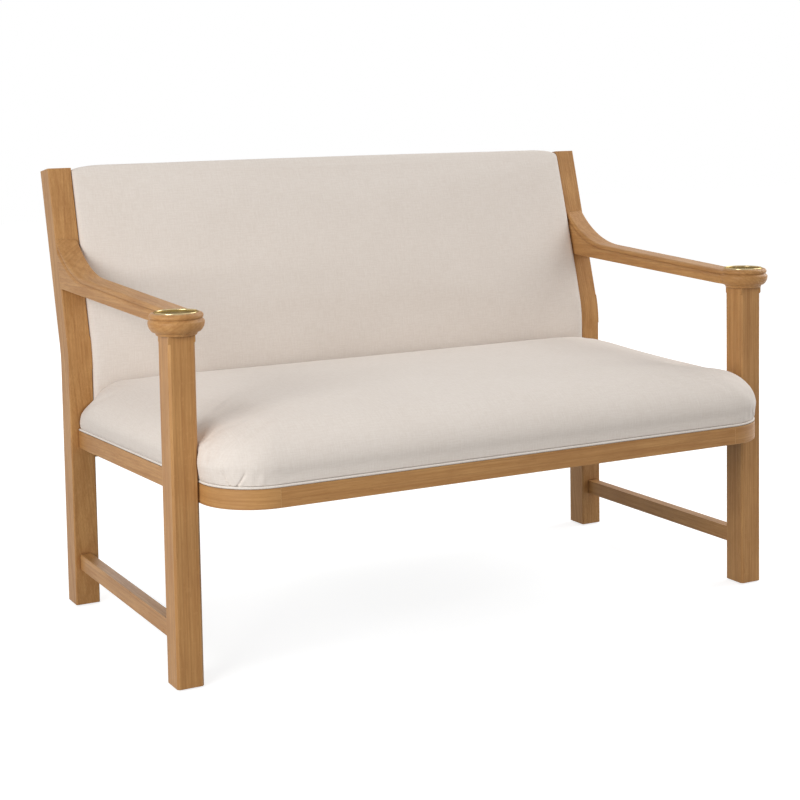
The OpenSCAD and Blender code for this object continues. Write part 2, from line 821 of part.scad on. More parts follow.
// Welt cord round the front and ends of the seat, on top of the rails: one unbroken tube, with
// the angle of its outer side at each point of its path
module seat_welt() {
    inset = welt_d / 2 + welt_room;
    y_end = back_y - soft_gap;
    corner = [for (i = [0:arc_steps]) -side_angle - (90 - side_angle) * i / arc_steps];
    beside_x = post_in - soft_gap - welt_d / 2;
    path = concat(
        [for (y = [y_end, front_post + welt_ease]) [inner_x(y, inset), y, -side_angle]],
        [[beside_x, front_post, 0], [beside_x, 0, 0]],
        [for (a = corner) let (q = arc(corner_x, corner_y, corner_r - inset, a, a, 1)[0]) [q[0], q[1], a]]
    );
    full = concat(path, flip([for (q = path) [-q[0], q[1], 180 - q[2]]]));
    color("linen") place() ring_stack([for (q = full)
        [for (i = [0:9]) let (out = welt_d / 2 * cos(36 * i))
            [q[0] + out * cos(q[2]), q[1] + out * sin(q[2]), rail_top + welt_d / 2 * (1 + sin(36 * i))]]]);
}

module dust_cover() {
    color("dimgray") place() translate([0, 0, rail_under - dust_t]) linear_extrude(dust_t) {
        frame_outline(dust_inset, back_y - soft_gap);
        translate([soft_gap - back_in, back_y - dust_lap])
            square([2 * (back_in - soft_gap), dust_lap + back_rail_w0 - soft_gap]);
    }
}

// Back upholstery
module back_webbing() {
    pitch = 2 * (back_half - strap_w) / (back_straps - 1);
    s0 = lower_rail_z + strap_lap_low - bend_z;
    s1 = top_rail_u1 - strap_lap_top - bend_tangent + bend_len;
    color("peru") place() for (i = [0:back_straps - 1])
        let (x = (i - (back_straps - 1) / 2) * pitch)
        side_prism(bent_strip(s0, s1, s1, inner_rail_w0 - strap_t, inner_rail_w0),
            x - strap_w / 2, x + strap_w / 2);
}

// Columns of the back form, as shares of its half width
back_columns = [0, 0.3, 0.55, 0.78, 0.9, 0.955, 0.975];
column_spread = concat(flip(back_columns), [for (i = [1:len(back_columns) - 1]) -back_columns[i]]);
pad_w = inner_rail_w0 - strap_t - soft_gap;
corner_reach = 70;
corner_fall = 12;
function corner_drop(x) = let (a = max(0, abs(x) - back_half + corner_reach) / corner_reach)
    corner_fall * (1 - sqrt(1 - a * a));
function back_top(x, e) = post_top_s + back_over - e - corner_drop(x);

// Front face of the back form at x, e inside its outer face, from the bottom over the top roll
function back_front(x, e, low, rise_steps, roll_steps) =
    let (
        top = back_top(x, e),
        p_top = proud(x, top) - e,
        r = min(back_roll, p_top + pad_w) - 1
    )
    concat(
        [for (s = [low, low / 2, 0, bend_len / 3, bend_len * 2 / 3, bend_len]) spine(s, e - proud(x, s))],
        [for (i = [1:rise_steps]) let (s = bend_len + (top - r - bend_len) * i / rise_steps)
            spine(s, e - proud(x, s))],
        [for (i = [1:roll_steps]) let (a = 90 * i / roll_steps)
            spine(top - r + r * sin(a), r * (1 - cos(a)) - p_top)]
    );
function at_x(x, line) = [for (q = line) [x, q[0], q[1]]];

// Stations across the back: inside_xs run through the hollow of the cover, edge_xs its ends
wall_x = back_half - cover_t;
wall_step = 0.5;
wall_sink = 0.5;
wall_room = 3;
mid_xs = [for (c = column_spread) if (abs(c) * back_half < wall_x - 2) c * back_half];
inside_xs = concat([wall_x - wall_step], mid_xs, [wall_step - wall_x]);
edge_xs = [back_half, 0.996 * back_half, wall_x];

module back_foam() {
    e = cover_t + 2 * soft_gap;
    low = back_bottom_s + e;
    end = wall_x - soft_gap - wall_step;
    color("lightyellow") place() ring_stack([for (x = concat([end], mid_xs, [-end]))
        at_x(x, concat(
            back_front(x, e, low, 4, 3),
            [for (s = [back_top(x, e) - 0.5, bend_len, bend_len / 2, 0, low]) spine(s, pad_w - soft_gap)]
        ))]);
}

// Thin cover, open at the back: it wraps the front, top, bottom and both ends of the foam
module back_cover() {
    w_end = inner_rail_w0 + inner_rail_t;
    seat_s = top_rail_u1 - bend_tangent + bend_len + soft_gap;
    low = back_bottom_s + cover_t;
    color("linen") place() ring_stack([for (x = concat(edge_xs, inside_xs, -flip(edge_xs)))
        let (inside = abs(x) < wall_x - wall_step / 2
            ? concat(back_front(x, cover_t, low, 4, 3), [spine(back_top(x, cover_t), pad_w)])
            : [for (i = [0:13])
                spine(low + (seat_s - wall_room - low) * i / 13, pad_w - wall_sink - sin(180 * i / 13))])
        at_x(x, concat(
            [spine(back_bottom_s, pad_w)],
            back_front(x, 0, back_bottom_s, 6, 5),
            [
                spine(back_top(x, 0) + (w_end - pad_w) * top_lean, w_end),
                spine(seat_s, w_end),
                spine(seat_s, pad_w)
            ],
            flip(inside),
            [spine(low, pad_w)]
        ))]);
}

module outside_back() {
    s0 = rail_top - outside_below - bend_z;
    s1 = post_top_s - outside_top_in;
    color("linen") place() side_prism(
        bent_strip(s0, s1, s1 + outside_t * top_lean, outside_w0, outside_w0 + outside_t),
        -back_half, back_half);
}

front_post(-1);  // front_post_left
front_post(1);  // front_post_right
back_post(-1);  // back_post_left
back_post(1);  // back_post_right
arm(-1);  // arm_left
arm(1);  // arm_right
brass_cup(-1);  // brass_cup_left
brass_cup(1);  // brass_cup_right
side_stretcher(-1);  // side_stretcher_left
side_stretcher(1);  // side_stretcher_right
front_rail();
rail_corner(-1);  // rail_corner_left
rail_corner(1);  // rail_corner_right
side_rail(-1);  // side_rail_left
side_rail(1);  // side_rail_right
back_rail();
front_block(-1);  // front_block_left
front_block(1);  // front_block_right
back_block(-1);  // back_block_left
back_block(1);  // back_block_right
back_top_rail();
back_lower_rail();
rail_dowels();
arm_dowels();
block_screws();
post_bolts();
arm_bolts();
bolt_plugs();
foot_glides();
seat_webbing();
seat_foam();
seat_cover();
seat_welt();
dust_cover();
back_webbing();
back_foam();
back_cover();
outside_back();
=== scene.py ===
"""Open-arm settee for two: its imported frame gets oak, brass and steel, and its upholstery is made here.

Lengths are in metres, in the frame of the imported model: the floor is at z = 0, the settee faces -Y,
and +X is the end on the right when it is seen from the front.
"""

import logging
import math
from dataclasses import dataclass, field
from enum import Enum
from typing import Iterable, Sequence

import bmesh
import bpy
import numpy as np
from mathutils import Matrix, Vector, noise


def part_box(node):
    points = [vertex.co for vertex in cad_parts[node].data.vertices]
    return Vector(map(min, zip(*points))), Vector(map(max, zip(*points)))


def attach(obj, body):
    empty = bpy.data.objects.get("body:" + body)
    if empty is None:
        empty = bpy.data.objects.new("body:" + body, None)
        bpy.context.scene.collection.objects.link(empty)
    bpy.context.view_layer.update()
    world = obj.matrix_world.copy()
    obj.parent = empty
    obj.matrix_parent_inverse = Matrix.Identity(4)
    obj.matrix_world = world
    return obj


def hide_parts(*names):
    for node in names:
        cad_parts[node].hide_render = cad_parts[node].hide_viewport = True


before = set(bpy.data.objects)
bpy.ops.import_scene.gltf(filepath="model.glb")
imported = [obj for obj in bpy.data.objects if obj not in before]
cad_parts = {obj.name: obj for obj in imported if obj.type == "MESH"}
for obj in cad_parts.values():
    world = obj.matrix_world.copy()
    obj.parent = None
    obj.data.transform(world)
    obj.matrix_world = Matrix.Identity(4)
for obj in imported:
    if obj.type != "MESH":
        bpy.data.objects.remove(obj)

log = logging.getLogger("settee")

Node = bpy.types.Node
Output = bpy.types.NodeSocket
Tree = bpy.types.NodeTree
Material = bpy.types.Material
Mesh = bpy.types.Mesh
Piece = bpy.types.Object
Colour = tuple[float, float, float]
Point = tuple[float, float, float]
Ring = list[Point]
Source = Output | float | int | tuple[float, ...]

BODY = "root"
ORIGIN = (0.0, 0.0, 0.0)


def linear(colour: Colour) -> tuple[float, float, float, float]:
    """Turns a colour as it is seen on a screen into the shader's linear colour.

    Args:
        colour: Red, green and blue from 0 to 1, as seen.

    Returns:
        The linear colour with a full alpha.
    """
    low = [c / 12.92 if c <= 0.04045 else ((c + 0.055) / 1.055) ** 2.4 for c in colour]
    return (low[0], low[1], low[2], 1.0)


def smooth_step(low: float, high: float, value: float) -> float:
    """Rises smoothly from 0 at low to 1 at high.

    Args:
        low: Where the rise starts.
        high: Where it ends.
        value: The place to read it at.

    Returns:
        The share risen, from 0 to 1.
    """
    t = min(1.0, max(0.0, (value - low) / (high - low)))
    return t * t * (3.0 - 2.0 * t)


def round_drop(share: float) -> float:
    """How far a quarter circle of radius 1 has dropped at share of its way across, from 0 to 1."""
    return 1 - math.sqrt(max(0.0, 1 - share * share))


def pair(stem: str) -> tuple[str, str]:
    """The names of a left and a right node."""
    return f"{stem}_left", f"{stem}_right"


class Wiring:
    """Adds nodes to one node tree and joins them."""

    def __init__(self, tree: Tree) -> None:
        """Keeps the tree that the nodes go into."""
        self.tree = tree

    def join(self, source: Source, socket: Output) -> None:
        """Joins a socket to an output, or sets its value.

        Args:
            source: An output socket, or a plain value.
            socket: The input that takes it.
        """
        if isinstance(source, Output):
            self.tree.links.new(source, socket)
        else:
            socket.default_value = source

    def add(self, kind: str, inputs: dict[str | int, Source] | None = None, **settings: object) -> Node:
        """Adds one shader node.

        Args:
            kind: The node's type, without the leading ShaderNode.
            inputs: Its sockets by name or number, each with a value or an output to join.
            **settings: Properties of the node itself.

        Returns:
            The new node.
        """
        node = self.tree.nodes.new("ShaderNode" + kind)
        for name, value in settings.items():
            setattr(node, name, value)
        for key, value in (inputs or {}).items():
            self.join(value, node.inputs[key])
        return node

    def math(self, operation: str, *values: Source, clamp: bool = False) -> Output:
        """Works out one number.

        Args:
            operation: The Math node's operation.
            *values: Its one, two or three inputs.
            clamp: True to keep the result from 0 to 1.

        Returns:
            The output socket.
        """
        return self.add("Math", dict(enumerate(values)), operation=operation, use_clamp=clamp).outputs[0]

    def vec(self, operation: str, *values: Source) -> Output:
        """Works out one vector from one or two others."""
        return self.add("VectorMath", dict(enumerate(values)), operation=operation).outputs[0]

    def reach(self, vector: Source) -> Output:
        """The length of a vector across the first two axes."""
        flat = self.vec("MULTIPLY", vector, (1.0, 1.0, 0.0))
        return self.add("VectorMath", {0: flat}, operation="LENGTH").outputs["Value"]

    def weigh(self, start: Source, parts: Iterable[tuple[Source, float]]) -> Output:
        """Adds up numbers by weight.

        Args:
            start: What they are added to.
            parts: Each number with its weight.

        Returns:
            The output socket.
        """
        for value, weight in parts:
            start = self.math("MULTIPLY_ADD", value, weight, start)
        return start

    def span(
        self, value: Source, low: float, high: float, to_low: float = 0.0, to_high: float = 1.0
    ) -> Output:
        """Maps a range of values smoothly onto another.

        Args:
            value: The value to map.
            low: Start of the range.
            high: End of the range.
            to_low: What the start becomes.
            to_high: What the end becomes.

        Returns:
            The output socket.
        """
        ends = {"Value": value, "From Min": low, "From Max": high, "To Min": to_low, "To Max": to_high}
        return self.add("MapRange", ends, interpolation_type="SMOOTHSTEP").outputs["Result"]

    def blend(self, share: Source, first: Source, second: Source) -> Output:
        """Mixes two colours.

        Args:
            share: How much of the second, from 0 to 1.
            first: The first colour.
            second: The second colour.

        Returns:
            The output socket.
        """
        return self.add("Mix", {0: share, 6: first, 7: second}, data_type="RGBA").outputs[2]

    def layer(self, colour: Source, layers: Iterable[tuple[Output, float, Colour]]) -> Output:
        """Lays colours over one another.

        Args:
            colour: The lowest colour.
            layers: For each layer its mask from 0 to 1, how strong it is, and its colour as seen.

        Returns:
            The output socket.
        """
        for mask, strength, over in layers:
            colour = self.blend(self.math("MULTIPLY", mask, strength), colour, linear(over))
        return colour

    def vector(self, x: Source, y: Source, z: Source) -> Output:
        """Puts three numbers together as a vector."""
        return self.add("CombineXYZ", {"X": x, "Y": y, "Z": z}).outputs[0]

    def parts(self, vector: Source) -> tuple[Output, ...]:
        """Takes a vector apart into its three numbers."""
        return tuple(self.add("SeparateXYZ", {"Vector": vector}).outputs)

    def cloud(self, vector: Source, scale: float, detail: float = 2.0, colour: bool = False) -> Output:
        """Reads a noise.

        Args:
            vector: Where it is read.
            scale: Its lumps to the metre.
            detail: Its octaves.
            colour: True for three noises in a vector, and False for one.

        Returns:
            The output socket.
        """
        node = self.add("TexNoise", {"Vector": vector, "Scale": scale, "Detail": detail})
        return node.outputs["Color" if colour else 0]

    def give(self, out: dict[str, Output], values: dict[str, Source]) -> Tree:
        """Joins an effect's results to its outputs.

        Args:
            out: The effect's outputs by name.
            values: Its results by name.

        Returns:
            The effect's finished tree.
        """
        for name, value in values.items():
            self.join(value, out[name])
        return self.tree


def effect(
    name: str, takes: dict[str, tuple[str, Source]], gives: dict[str, str]
) -> tuple[Wiring, dict, dict]:
    """Starts a shared effect as a shader node group with named inputs and outputs.

    Args:
        name: The effect's name.
        takes: Each input's name, with its socket type and its value where none is given.
        gives: Each output's name, with its socket type.

    Returns:
        The group's wiring, its inputs by name and the sockets that take its outputs by name.
    """
    tree = bpy.data.node_groups.new(name, "ShaderNodeTree")
    for label, (kind, value) in takes.items():
        socket = tree.interface.new_socket(label, in_out="INPUT", socket_type="NodeSocket" + kind)
        socket.default_value = value
    for label, kind in gives.items():
        tree.interface.new_socket(label, in_out="OUTPUT", socket_type="NodeSocket" + kind)
    entry = tree.nodes.new("NodeGroupInput")
    leave = tree.nodes.new("NodeGroupOutput")
    return Wiring(tree), {s.name: s for s in entry.outputs}, {s.name: s for s in leave.inputs}


class Effects:
    """The effects that several finishes share, each built once."""

    def __init__(self) -> None:
        """Builds every group."""
        self.grain = self._wood_grain()
        self.thread_plane = self._thread_plane()
        self.weave = self._weave()
        self.edge = self._soft_edge()
        self.patches = self._patches()

    @staticmethod
    def use(wires: Wiring, group: Tree, inputs: dict[str, Source]) -> dict[str, Output]:
        """Places an effect in a material or in another effect.

        Args:
            wires: The tree that it goes into.
            group: The effect.
            inputs: Its own values here.

        Returns:
            Its outputs by name.
        """
        node = wires.add("Group", node_tree=group)
        for name, value in inputs.items():
            wires.join(value, node.inputs[name])
        return {s.name: s for s in node.outputs}

    @staticmethod
    def _wood_grain() -> Tree:
        """Rings, fibres, pores and ray flecks of a board whose grain runs along the third axis."""
        wires, given, out = effect(
            "wood grain",
            {
                "Position": ("Vector", ORIGIN),
                "Heart": ("Vector", (0.09, -0.05, 0.0)),
                "Ring Gap": ("Float", 0.005),
                "Wander": ("Float", 0.02),
            },
            {"Rings": "Float", "Streaks": "Float", "Pores": "Float", "Flecks": "Float", "Height": "Float"},
        )
        x, y, z = wires.parts(given["Position"])

        def drawn(long: float) -> Output:
            """The place with its length scaled down, which draws a noise out along the grain."""
            return wires.vector(x, y, wires.math("MULTIPLY", z, long))

        drift = wires.vec("SUBTRACT", wires.cloud(drawn(0.25), scale=5.0, colour=True), (0.5, 0.5, 0.5))
        scaled = wires.add("VectorMath", {0: drift, "Scale": given["Wander"]}, operation="SCALE")
        here = wires.vec("ADD", given["Position"], scaled.outputs[0])
        count = wires.math("DIVIDE", wires.reach(wires.vec("ADD", here, given["Heart"])), given["Ring Gap"])
        share = wires.math("FRACT", count)
        rise, fall = wires.span(share, 0.25, 0.9), wires.span(share, 0.9, 1.0, to_low=1.0, to_high=0.0)
        late = wires.math("MULTIPLY", rise, fall)
        year = wires.add("TexWhiteNoise", {"W": wires.math("FLOOR", count)}, noise_dimensions="1D")
        strong = wires.span(year.outputs["Value"], 0.0, 1.0, to_low=0.35)
        fine = wires.cloud(drawn(0.02), scale=900.0)
        broad = wires.cloud(drawn(0.035), scale=130.0, detail=3.0)
        streaks = wires.weigh(0.0, ((fine, 0.4), (broad, 0.6)))
        hollow = wires.span(wires.cloud(drawn(0.045), scale=1250.0, detail=1.0), 0.58, 0.7)
        pores = wires.math("MULTIPLY", hollow, wires.math("SUBTRACT", 1.0, late))
        broadened = wires.vector(wires.math("MULTIPLY", x, 0.2), y, wires.math("MULTIPLY", z, 0.3))
        flake = wires.cloud(broadened, scale=420.0, detail=1.0)
        return wires.give(out, {
            "Rings": wires.math("MULTIPLY", late, strong),
            "Streaks": wires.span(streaks, 0.3, 0.7),
            "Pores": pores,
            "Flecks": wires.span(flake, 0.64, 0.74),
            "Height": wires.math("SUBTRACT", wires.math("MULTIPLY", streaks, 0.35), pores),
        })

    @staticmethod
    def _thread_plane() -> Tree:
        """A plain weave laid flat: threads over and under, and the slubs along them."""
        wires, given, out = effect(
            "thread plane",
            {
                "Across": ("Float", 0.0),
                "Along": ("Float", 0.0),
                "Pitch": ("Float", 0.001),
                "Sway": ("Float", 0.002),
                "Slub Stretch": ("Float", 0.07),
            },
            {"Thread": "Float", "Slub": "Float"},
        )
        across, along, stretch = given["Across"], given["Along"], given["Slub Stretch"]
        sway = wires.parts(wires.cloud(wires.vector(across, along, 0.0), scale=45.0, detail=1.0, colour=True))
        turn = wires.math("DIVIDE", math.pi, given["Pitch"])
        waves = []
        for line, drift in zip((across, along), sway):
            bent = wires.math("MULTIPLY_ADD", wires.math("SUBTRACT", drift, 0.5), given["Sway"], line)
            waves.append(wires.math("SINE", wires.math("MULTIPLY", bent, turn)))
        ridges = [wires.math("ABSOLUTE", wave) for wave in waves]
        crossing = wires.math("MULTIPLY", *waves)
        warp = wires.cloud(wires.vector(across, wires.math("MULTIPLY", along, stretch), 0.0), scale=520.0)
        weft = wires.cloud(wires.vector(wires.math("MULTIPLY", across, stretch), along, 3.0), scale=520.0)
        return wires.give(out, {
            "Thread": wires.weigh(0.4, ((crossing, 0.3), (wires.math("ADD", *ridges), 0.15))),
            "Slub": wires.span(wires.weigh(0.0, ((warp, 0.5), (weft, 0.5))), 0.38, 0.62),
        })

    def _weave(self) -> Tree:
        """The plain weave wrapped round a padded form from three sides."""
        wires, given, out = effect(
            "plain weave",
            {
                "Position": ("Vector", ORIGIN),
                "Facing": ("Vector", (0.0, 0.0, 1.0)),
                "Pitch": ("Float", 0.001),
                "Turn": ("Float", 6.0),
            },
            {"Thread": "Float", "Slub": "Float", "Nap": "Float"},
        )
        x, y, z = wires.parts(given["Position"])
        facing = wires.parts(wires.vec("ABSOLUTE", given["Facing"]))
        shares = [wires.math("POWER", side, given["Turn"]) for side in facing]
        whole = wires.weigh(1e-4, ((share, 1.0) for share in shares))
        total = {"Thread": 0.0, "Slub": 0.0}
        for share, (across, along) in zip(shares, ((y, z), (x, z), (x, y))):
            plane = {"Across": across, "Along": along, "Pitch": given["Pitch"]}
            laid = self.use(wires, self.thread_plane, plane)
            part = wires.math("DIVIDE", share, whole)
            total = {name: wires.math("MULTIPLY_ADD", laid[name], part, sum_) for name, sum_ in total.items()}
        nap = wires.cloud(given["Position"], scale=260.0, detail=3.0)
        return wires.give(out, {**total, "Nap": wires.span(nap, 0.3, 0.7)})

    @staticmethod
    def _soft_edge() -> Tree:
        """Eased edges and shaded grooves: a mask of edge wear, the rounded normal, and a mask for painted
        shade in grooves and joints.
        """
        wires, given, out = effect(
            "soft edge",
            {"Radius": ("Float", 0.001), "Groove Reach": ("Float", 0.008)},
            {"Worn": "Float", "Groove": "Float", "Normal": "Vector"},
        )
        around = wires.add("AmbientOcclusion", {"Distance": given["Groove Reach"]}, samples=8)
        eased = wires.add("Bevel", {"Radius": given["Radius"]}, samples=6).outputs[0]
        sharp = wires.add("NewGeometry").outputs["Normal"]
        same = wires.add("VectorMath", {0: eased, 1: sharp}, operation="DOT_PRODUCT").outputs["Value"]
        return wires.give(out, {
            "Worn": wires.span(same, 0.99, 0.8),
            # mask for painted shade: high where ambient occlusion finds a groove or a joint between parts
            "Groove": wires.span(around.outputs["AO"], 0.85, 0.35),
            "Normal": eased,
        })

    @staticmethod
    def _patches() -> Tree:
        """Broad, faint patches, as of handling, fading and dust."""
        wires, given, out = effect(
            "faint patches", {"Position": ("Vector", ORIGIN), "Size": ("Float", 0.2)}, {"Patch": "Float"}
        )
        spread = wires.vec("DIVIDE", given["Position"], given["Size"])
        return wires.give(out, {"Patch": wires.span(wires.cloud(spread, scale=1.0), 0.3, 0.7)})


@dataclass
class Surface:
    """A material while it is mixed: its wiring, its shader and the effects that it can use."""

    name: str
    effects: Effects
    material: Material = field(init=False)
    wires: Wiring = field(init=False)
    shader: Node = field(init=False)
    place: Output = field(init=False)
    facing: Output = field(init=False)

    def __post_init__(self) -> None:
        """Starts the material with one Principled shader."""
        self.material = bpy.data.materials.new(self.name)
        self.material.use_nodes = True
        self.wires = Wiring(self.material.node_tree)
        self.shader = self.material.node_tree.nodes["Principled BSDF"]
        spot = self.wires.add("TexCoord")
        self.place = spot.outputs["Object"]
        self.facing = spot.outputs["Normal"]

    def patch(self, place: Output, size: float) -> Output:
        """A mask of faint patches of a size."""
        return self.effects.use(self.wires, self.effects.patches, {"Position": place, "Size": size})["Patch"]

    def edge(self, radius: float) -> dict[str, Output]:
        """The wear mask, the painted shade mask of grooves and joints, and the normal of edges eased by a
        radius.
        """
        return self.effects.use(self.wires, self.effects.edge, {"Radius": radius})

    def set(self, **values: Source) -> None:
        """Sets the shader's sockets.

        Args:
            **values: Each socket's name in lower case with _ for a space, and its value or source.
        """
        for name, value in values.items():
            socket = next(s for s in self.shader.inputs if s.name.lower().replace(" ", "_") == name)
            self.wires.join(value, socket)

    def bump(self, height: Source, depth: float, strength: float, normal: Source | None = None) -> None:
        """Raises the surface by a height.

        Args:
            height: The height, from 0 to 1.
            depth: What a height of 1 is in metres.
            strength: How strongly it shows.
            normal: The normal that it starts from.
        """
        node = self.wires.add("Bump", {"Height": height, "Distance": depth, "Strength": strength})
        if normal is not None:
            self.wires.join(normal, node.inputs["Normal"])
        self.set(normal=node.outputs[0])


class GrainRun(Enum):
    """Which way the grain of a wooden piece runs."""

    UPRIGHT = "upright"
    FRONT_TO_BACK = "front to back"
    SIDE_TO_SIDE = "side to side"
    LEANING = "leaning"
    ROUND_CORNER = "round a corner"


@dataclass(frozen=True)
class BoardFinish:
    """Wood with its own rings, pores and colour, cut from one board."""

    name: str
    run: GrainRun
    seed: float
    pale: Colour = (0.775, 0.585, 0.36)
    body: Colour = (0.672, 0.474, 0.267)
    late: Colour = (0.555, 0.37, 0.195)
    # colour of the painted shade in grooves and joints
    deep: Colour = (0.40, 0.25, 0.13)
    rubbed: Colour = (0.84, 0.67, 0.45)
    ring_gap: float = 0.0052
    patch_size: float = 0.09
    relief: float = 0.00025
    roughness: float = 0.5
    lacquer: float = 0.06
    edge: float = 0.0012
    lean: float = math.radians(9.0)
    corner_reach: float = 0.1
    turn_at: tuple[float, float] = (0.0, 0.0)

    def along_grain(self, surface: Surface) -> Output:
        """Turns a place on the piece so that the third axis runs along its grain.

        Args:
            surface: The material that is mixed.

        Returns:
            The turned place, moved to this board's own part of the tree.
        """
        wires, place = surface.wires, surface.place
        if self.run is GrainRun.LEANING:
            place = wires.add("Mapping", {"Vector": place, "Rotation": (self.lean, 0.0, 0.0)}).outputs[0]
        x, y, z = wires.parts(place)
        if self.run is GrainRun.FRONT_TO_BACK:
            turned = wires.vector(x, z, y)
        elif self.run is GrainRun.SIDE_TO_SIDE:
            turned = wires.vector(y, z, x)
        elif self.run is GrainRun.ROUND_CORNER:
            out_x = wires.math("SUBTRACT", wires.math("ABSOLUTE", x), self.turn_at[0])
            out_y = wires.math("SUBTRACT", y, self.turn_at[1])
            reach = wires.reach(wires.vector(out_x, out_y, 0.0))
            angle = wires.math("ARCTAN2", out_y, out_x)
            turned = wires.vector(reach, z, wires.math("MULTIPLY", angle, self.corner_reach))
        else:
            turned = wires.vector(x, y, z)
        shift = (0.013 * self.seed, 0.017 * self.seed, 0.71 * self.seed)
        return wires.vec("ADD", turned, shift)

    def material(self, effects: Effects) -> Material:
        """Mixes the finish.

        Args:
            effects: The shared effects.

        Returns:
            The material.
        """
        surface = Surface(self.name, effects)
        wires = surface.wires
        place = self.along_grain(surface)
        heart = (0.06 + 0.011 * math.sin(3.1 * self.seed), 0.05 + 0.013 * math.cos(2.3 * self.seed), 0.0)
        board = {"Position": place, "Heart": heart, "Ring Gap": self.ring_gap}
        grain = effects.use(wires, effects.grain, board)
        edge_wear_and_shade = surface.edge(self.edge)
        colour = wires.blend(grain["Streaks"], linear(self.body), linear(self.pale))
        colour = wires.layer(colour, (
            (grain["Rings"], 0.34, self.late),
            (grain["Pores"], 0.42, self.late),
            (grain["Flecks"], 0.25, self.pale),
            (surface.patch(place, self.patch_size), 0.22, self.late),
            (edge_wear_and_shade["Worn"], 0.75, self.rubbed),
            # painted shade: darker in grooves and between parts, where ambient occlusion finds them
            (edge_wear_and_shade["Groove"], 0.6, self.deep),
        ))
        surface.set(
            base_color=colour,
            roughness=wires.weigh(self.roughness + 0.04, ((grain["Streaks"], -0.08), (grain["Pores"], 0.2))),
            specular_ior_level=0.32,
            coat_weight=self.lacquer,
            coat_roughness=0.35,
        )
        surface.bump(grain["Height"], self.relief, 0.35, edge_wear_and_shade["Normal"])
        return surface.material


@dataclass(frozen=True)
class ClothFinish:
    """A plain-woven cloth: its threads, slubs and nap."""

    name: str
    body: Colour = (0.925, 0.892, 0.860)
    shade: Colour = (0.868, 0.824, 0.783)
    thread: float = 0.0009
    relief: float = 0.00013
    slub: float = 0.34
    patch_size: float = 0.16
    sheen: float = 0.12
    roughness: float = 0.92
    bias_deg: float = 0.0

    def material(self, effects: Effects) -> Material:
        """Mixes the finish.

        Args:
            effects: The shared effects.

        Returns:
            The material.
        """
        surface = Surface(self.name, effects)
        wires, place = surface.wires, surface.place
        if self.bias_deg:
            turn = (0.0, 0.0, math.radians(self.bias_deg))
            place = wires.add("Mapping", {"Vector": place, "Rotation": turn}).outputs[0]
        threads = {"Position": place, "Facing": surface.facing, "Pitch": self.thread}
        cloth = effects.use(wires, effects.weave, threads)
        slub, nap = cloth["Slub"], cloth["Nap"]
        low = wires.math("SUBTRACT", 1.0, cloth["Thread"])
        patch = surface.patch(place, self.patch_size)
        dark = wires.weigh(0.0, ((low, 0.4), (slub, self.slub), (nap, 0.18)))
        dark = wires.math("MULTIPLY_ADD", patch, 0.12, dark, clamp=True)
        surface.set(
            base_color=wires.blend(dark, linear(self.body), linear(self.shade)),
            roughness=wires.weigh(self.roughness - 0.03, ((nap, 0.06),)),
            sheen_weight=self.sheen,
            sheen_roughness=0.5,
            specular_ior_level=0.25,
        )
        surface.bump(wires.weigh(cloth["Thread"], ((slub, -0.8), (nap, 0.9))), self.relief, 0.5)
        return surface.material


@dataclass(frozen=True)
class BrassFinish:
    """Polished brass, with a painted dark reflection on the floor of the dish and a painted highlight on its
    rim.
    """

    name: str
    centre: Point
    reach: float
    # painted highlight colour of the rim
    bright: Colour = (0.80, 0.72, 0.56)
    # painted dark reflection on the dish floor, and the colour of the faint tarnish patches
    dish_reflection_and_tarnish: Colour = (0.51, 0.483, 0.40)
    graze: Colour = (0.76, 0.70, 0.57)
    edge: float = 0.0005
    patch_size: float = 0.012
    turnings: float = 9000.0

    def material(self, effects: Effects) -> Material:
        """Mixes the finish.

        Args:
            effects: The shared effects.

        Returns:
            The material.
        """
        surface = Surface(self.name, effects)
        wires = surface.wires
        radius = wires.reach(wires.vec("SUBTRACT", surface.place, self.centre))
        patch = surface.patch(surface.place, self.patch_size)
        # painted reflection: the dish floor darker and the rim lighter, standing in for what the brass
        # reflects
        rim = wires.span(radius, 0.72 * self.reach, 0.9 * self.reach)
        colour = wires.blend(rim, linear(self.dish_reflection_and_tarnish), linear(self.bright))
        turned = wires.math("SINE", wires.math("MULTIPLY", radius, self.turnings))
        surface.set(
            base_color=wires.layer(colour, ((patch, 0.3, self.dish_reflection_and_tarnish),)),
            metallic=1.0,
            roughness=wires.weigh(0.14, ((patch, 0.1), (turned, 0.015))),
            specular_tint=linear(self.graze),
        )
        surface.bump(turned, 0.00001, 0.3, surface.edge(self.edge)["Normal"])
        return surface.material


@dataclass(frozen=True)
class PlainFinish:
    """A hard, even material with faint patches, such as plated steel or moulded nylon."""

    name: str
    light: Colour
    dark: Colour
    roughness: float
    metallic: float
    patch_size: float = 0.004
    edge: float = 0.0004

    def material(self, effects: Effects) -> Material:
        """Mixes the finish.

        Args:
            effects: The shared effects.

        Returns:
            The material.
        """
        surface = Surface(self.name, effects)
        wires = surface.wires
        patch = surface.patch(surface.place, self.patch_size)
        surface.set(
            base_color=wires.blend(patch, linear(self.light), linear(self.dark)),
            roughness=wires.weigh(self.roughness - 0.06, ((patch, 0.12),)),
            metallic=self.metallic,
        )
        surface.bump(patch, 0.00004, 0.3, surface.edge(self.edge)["Normal"])
        return surface.material


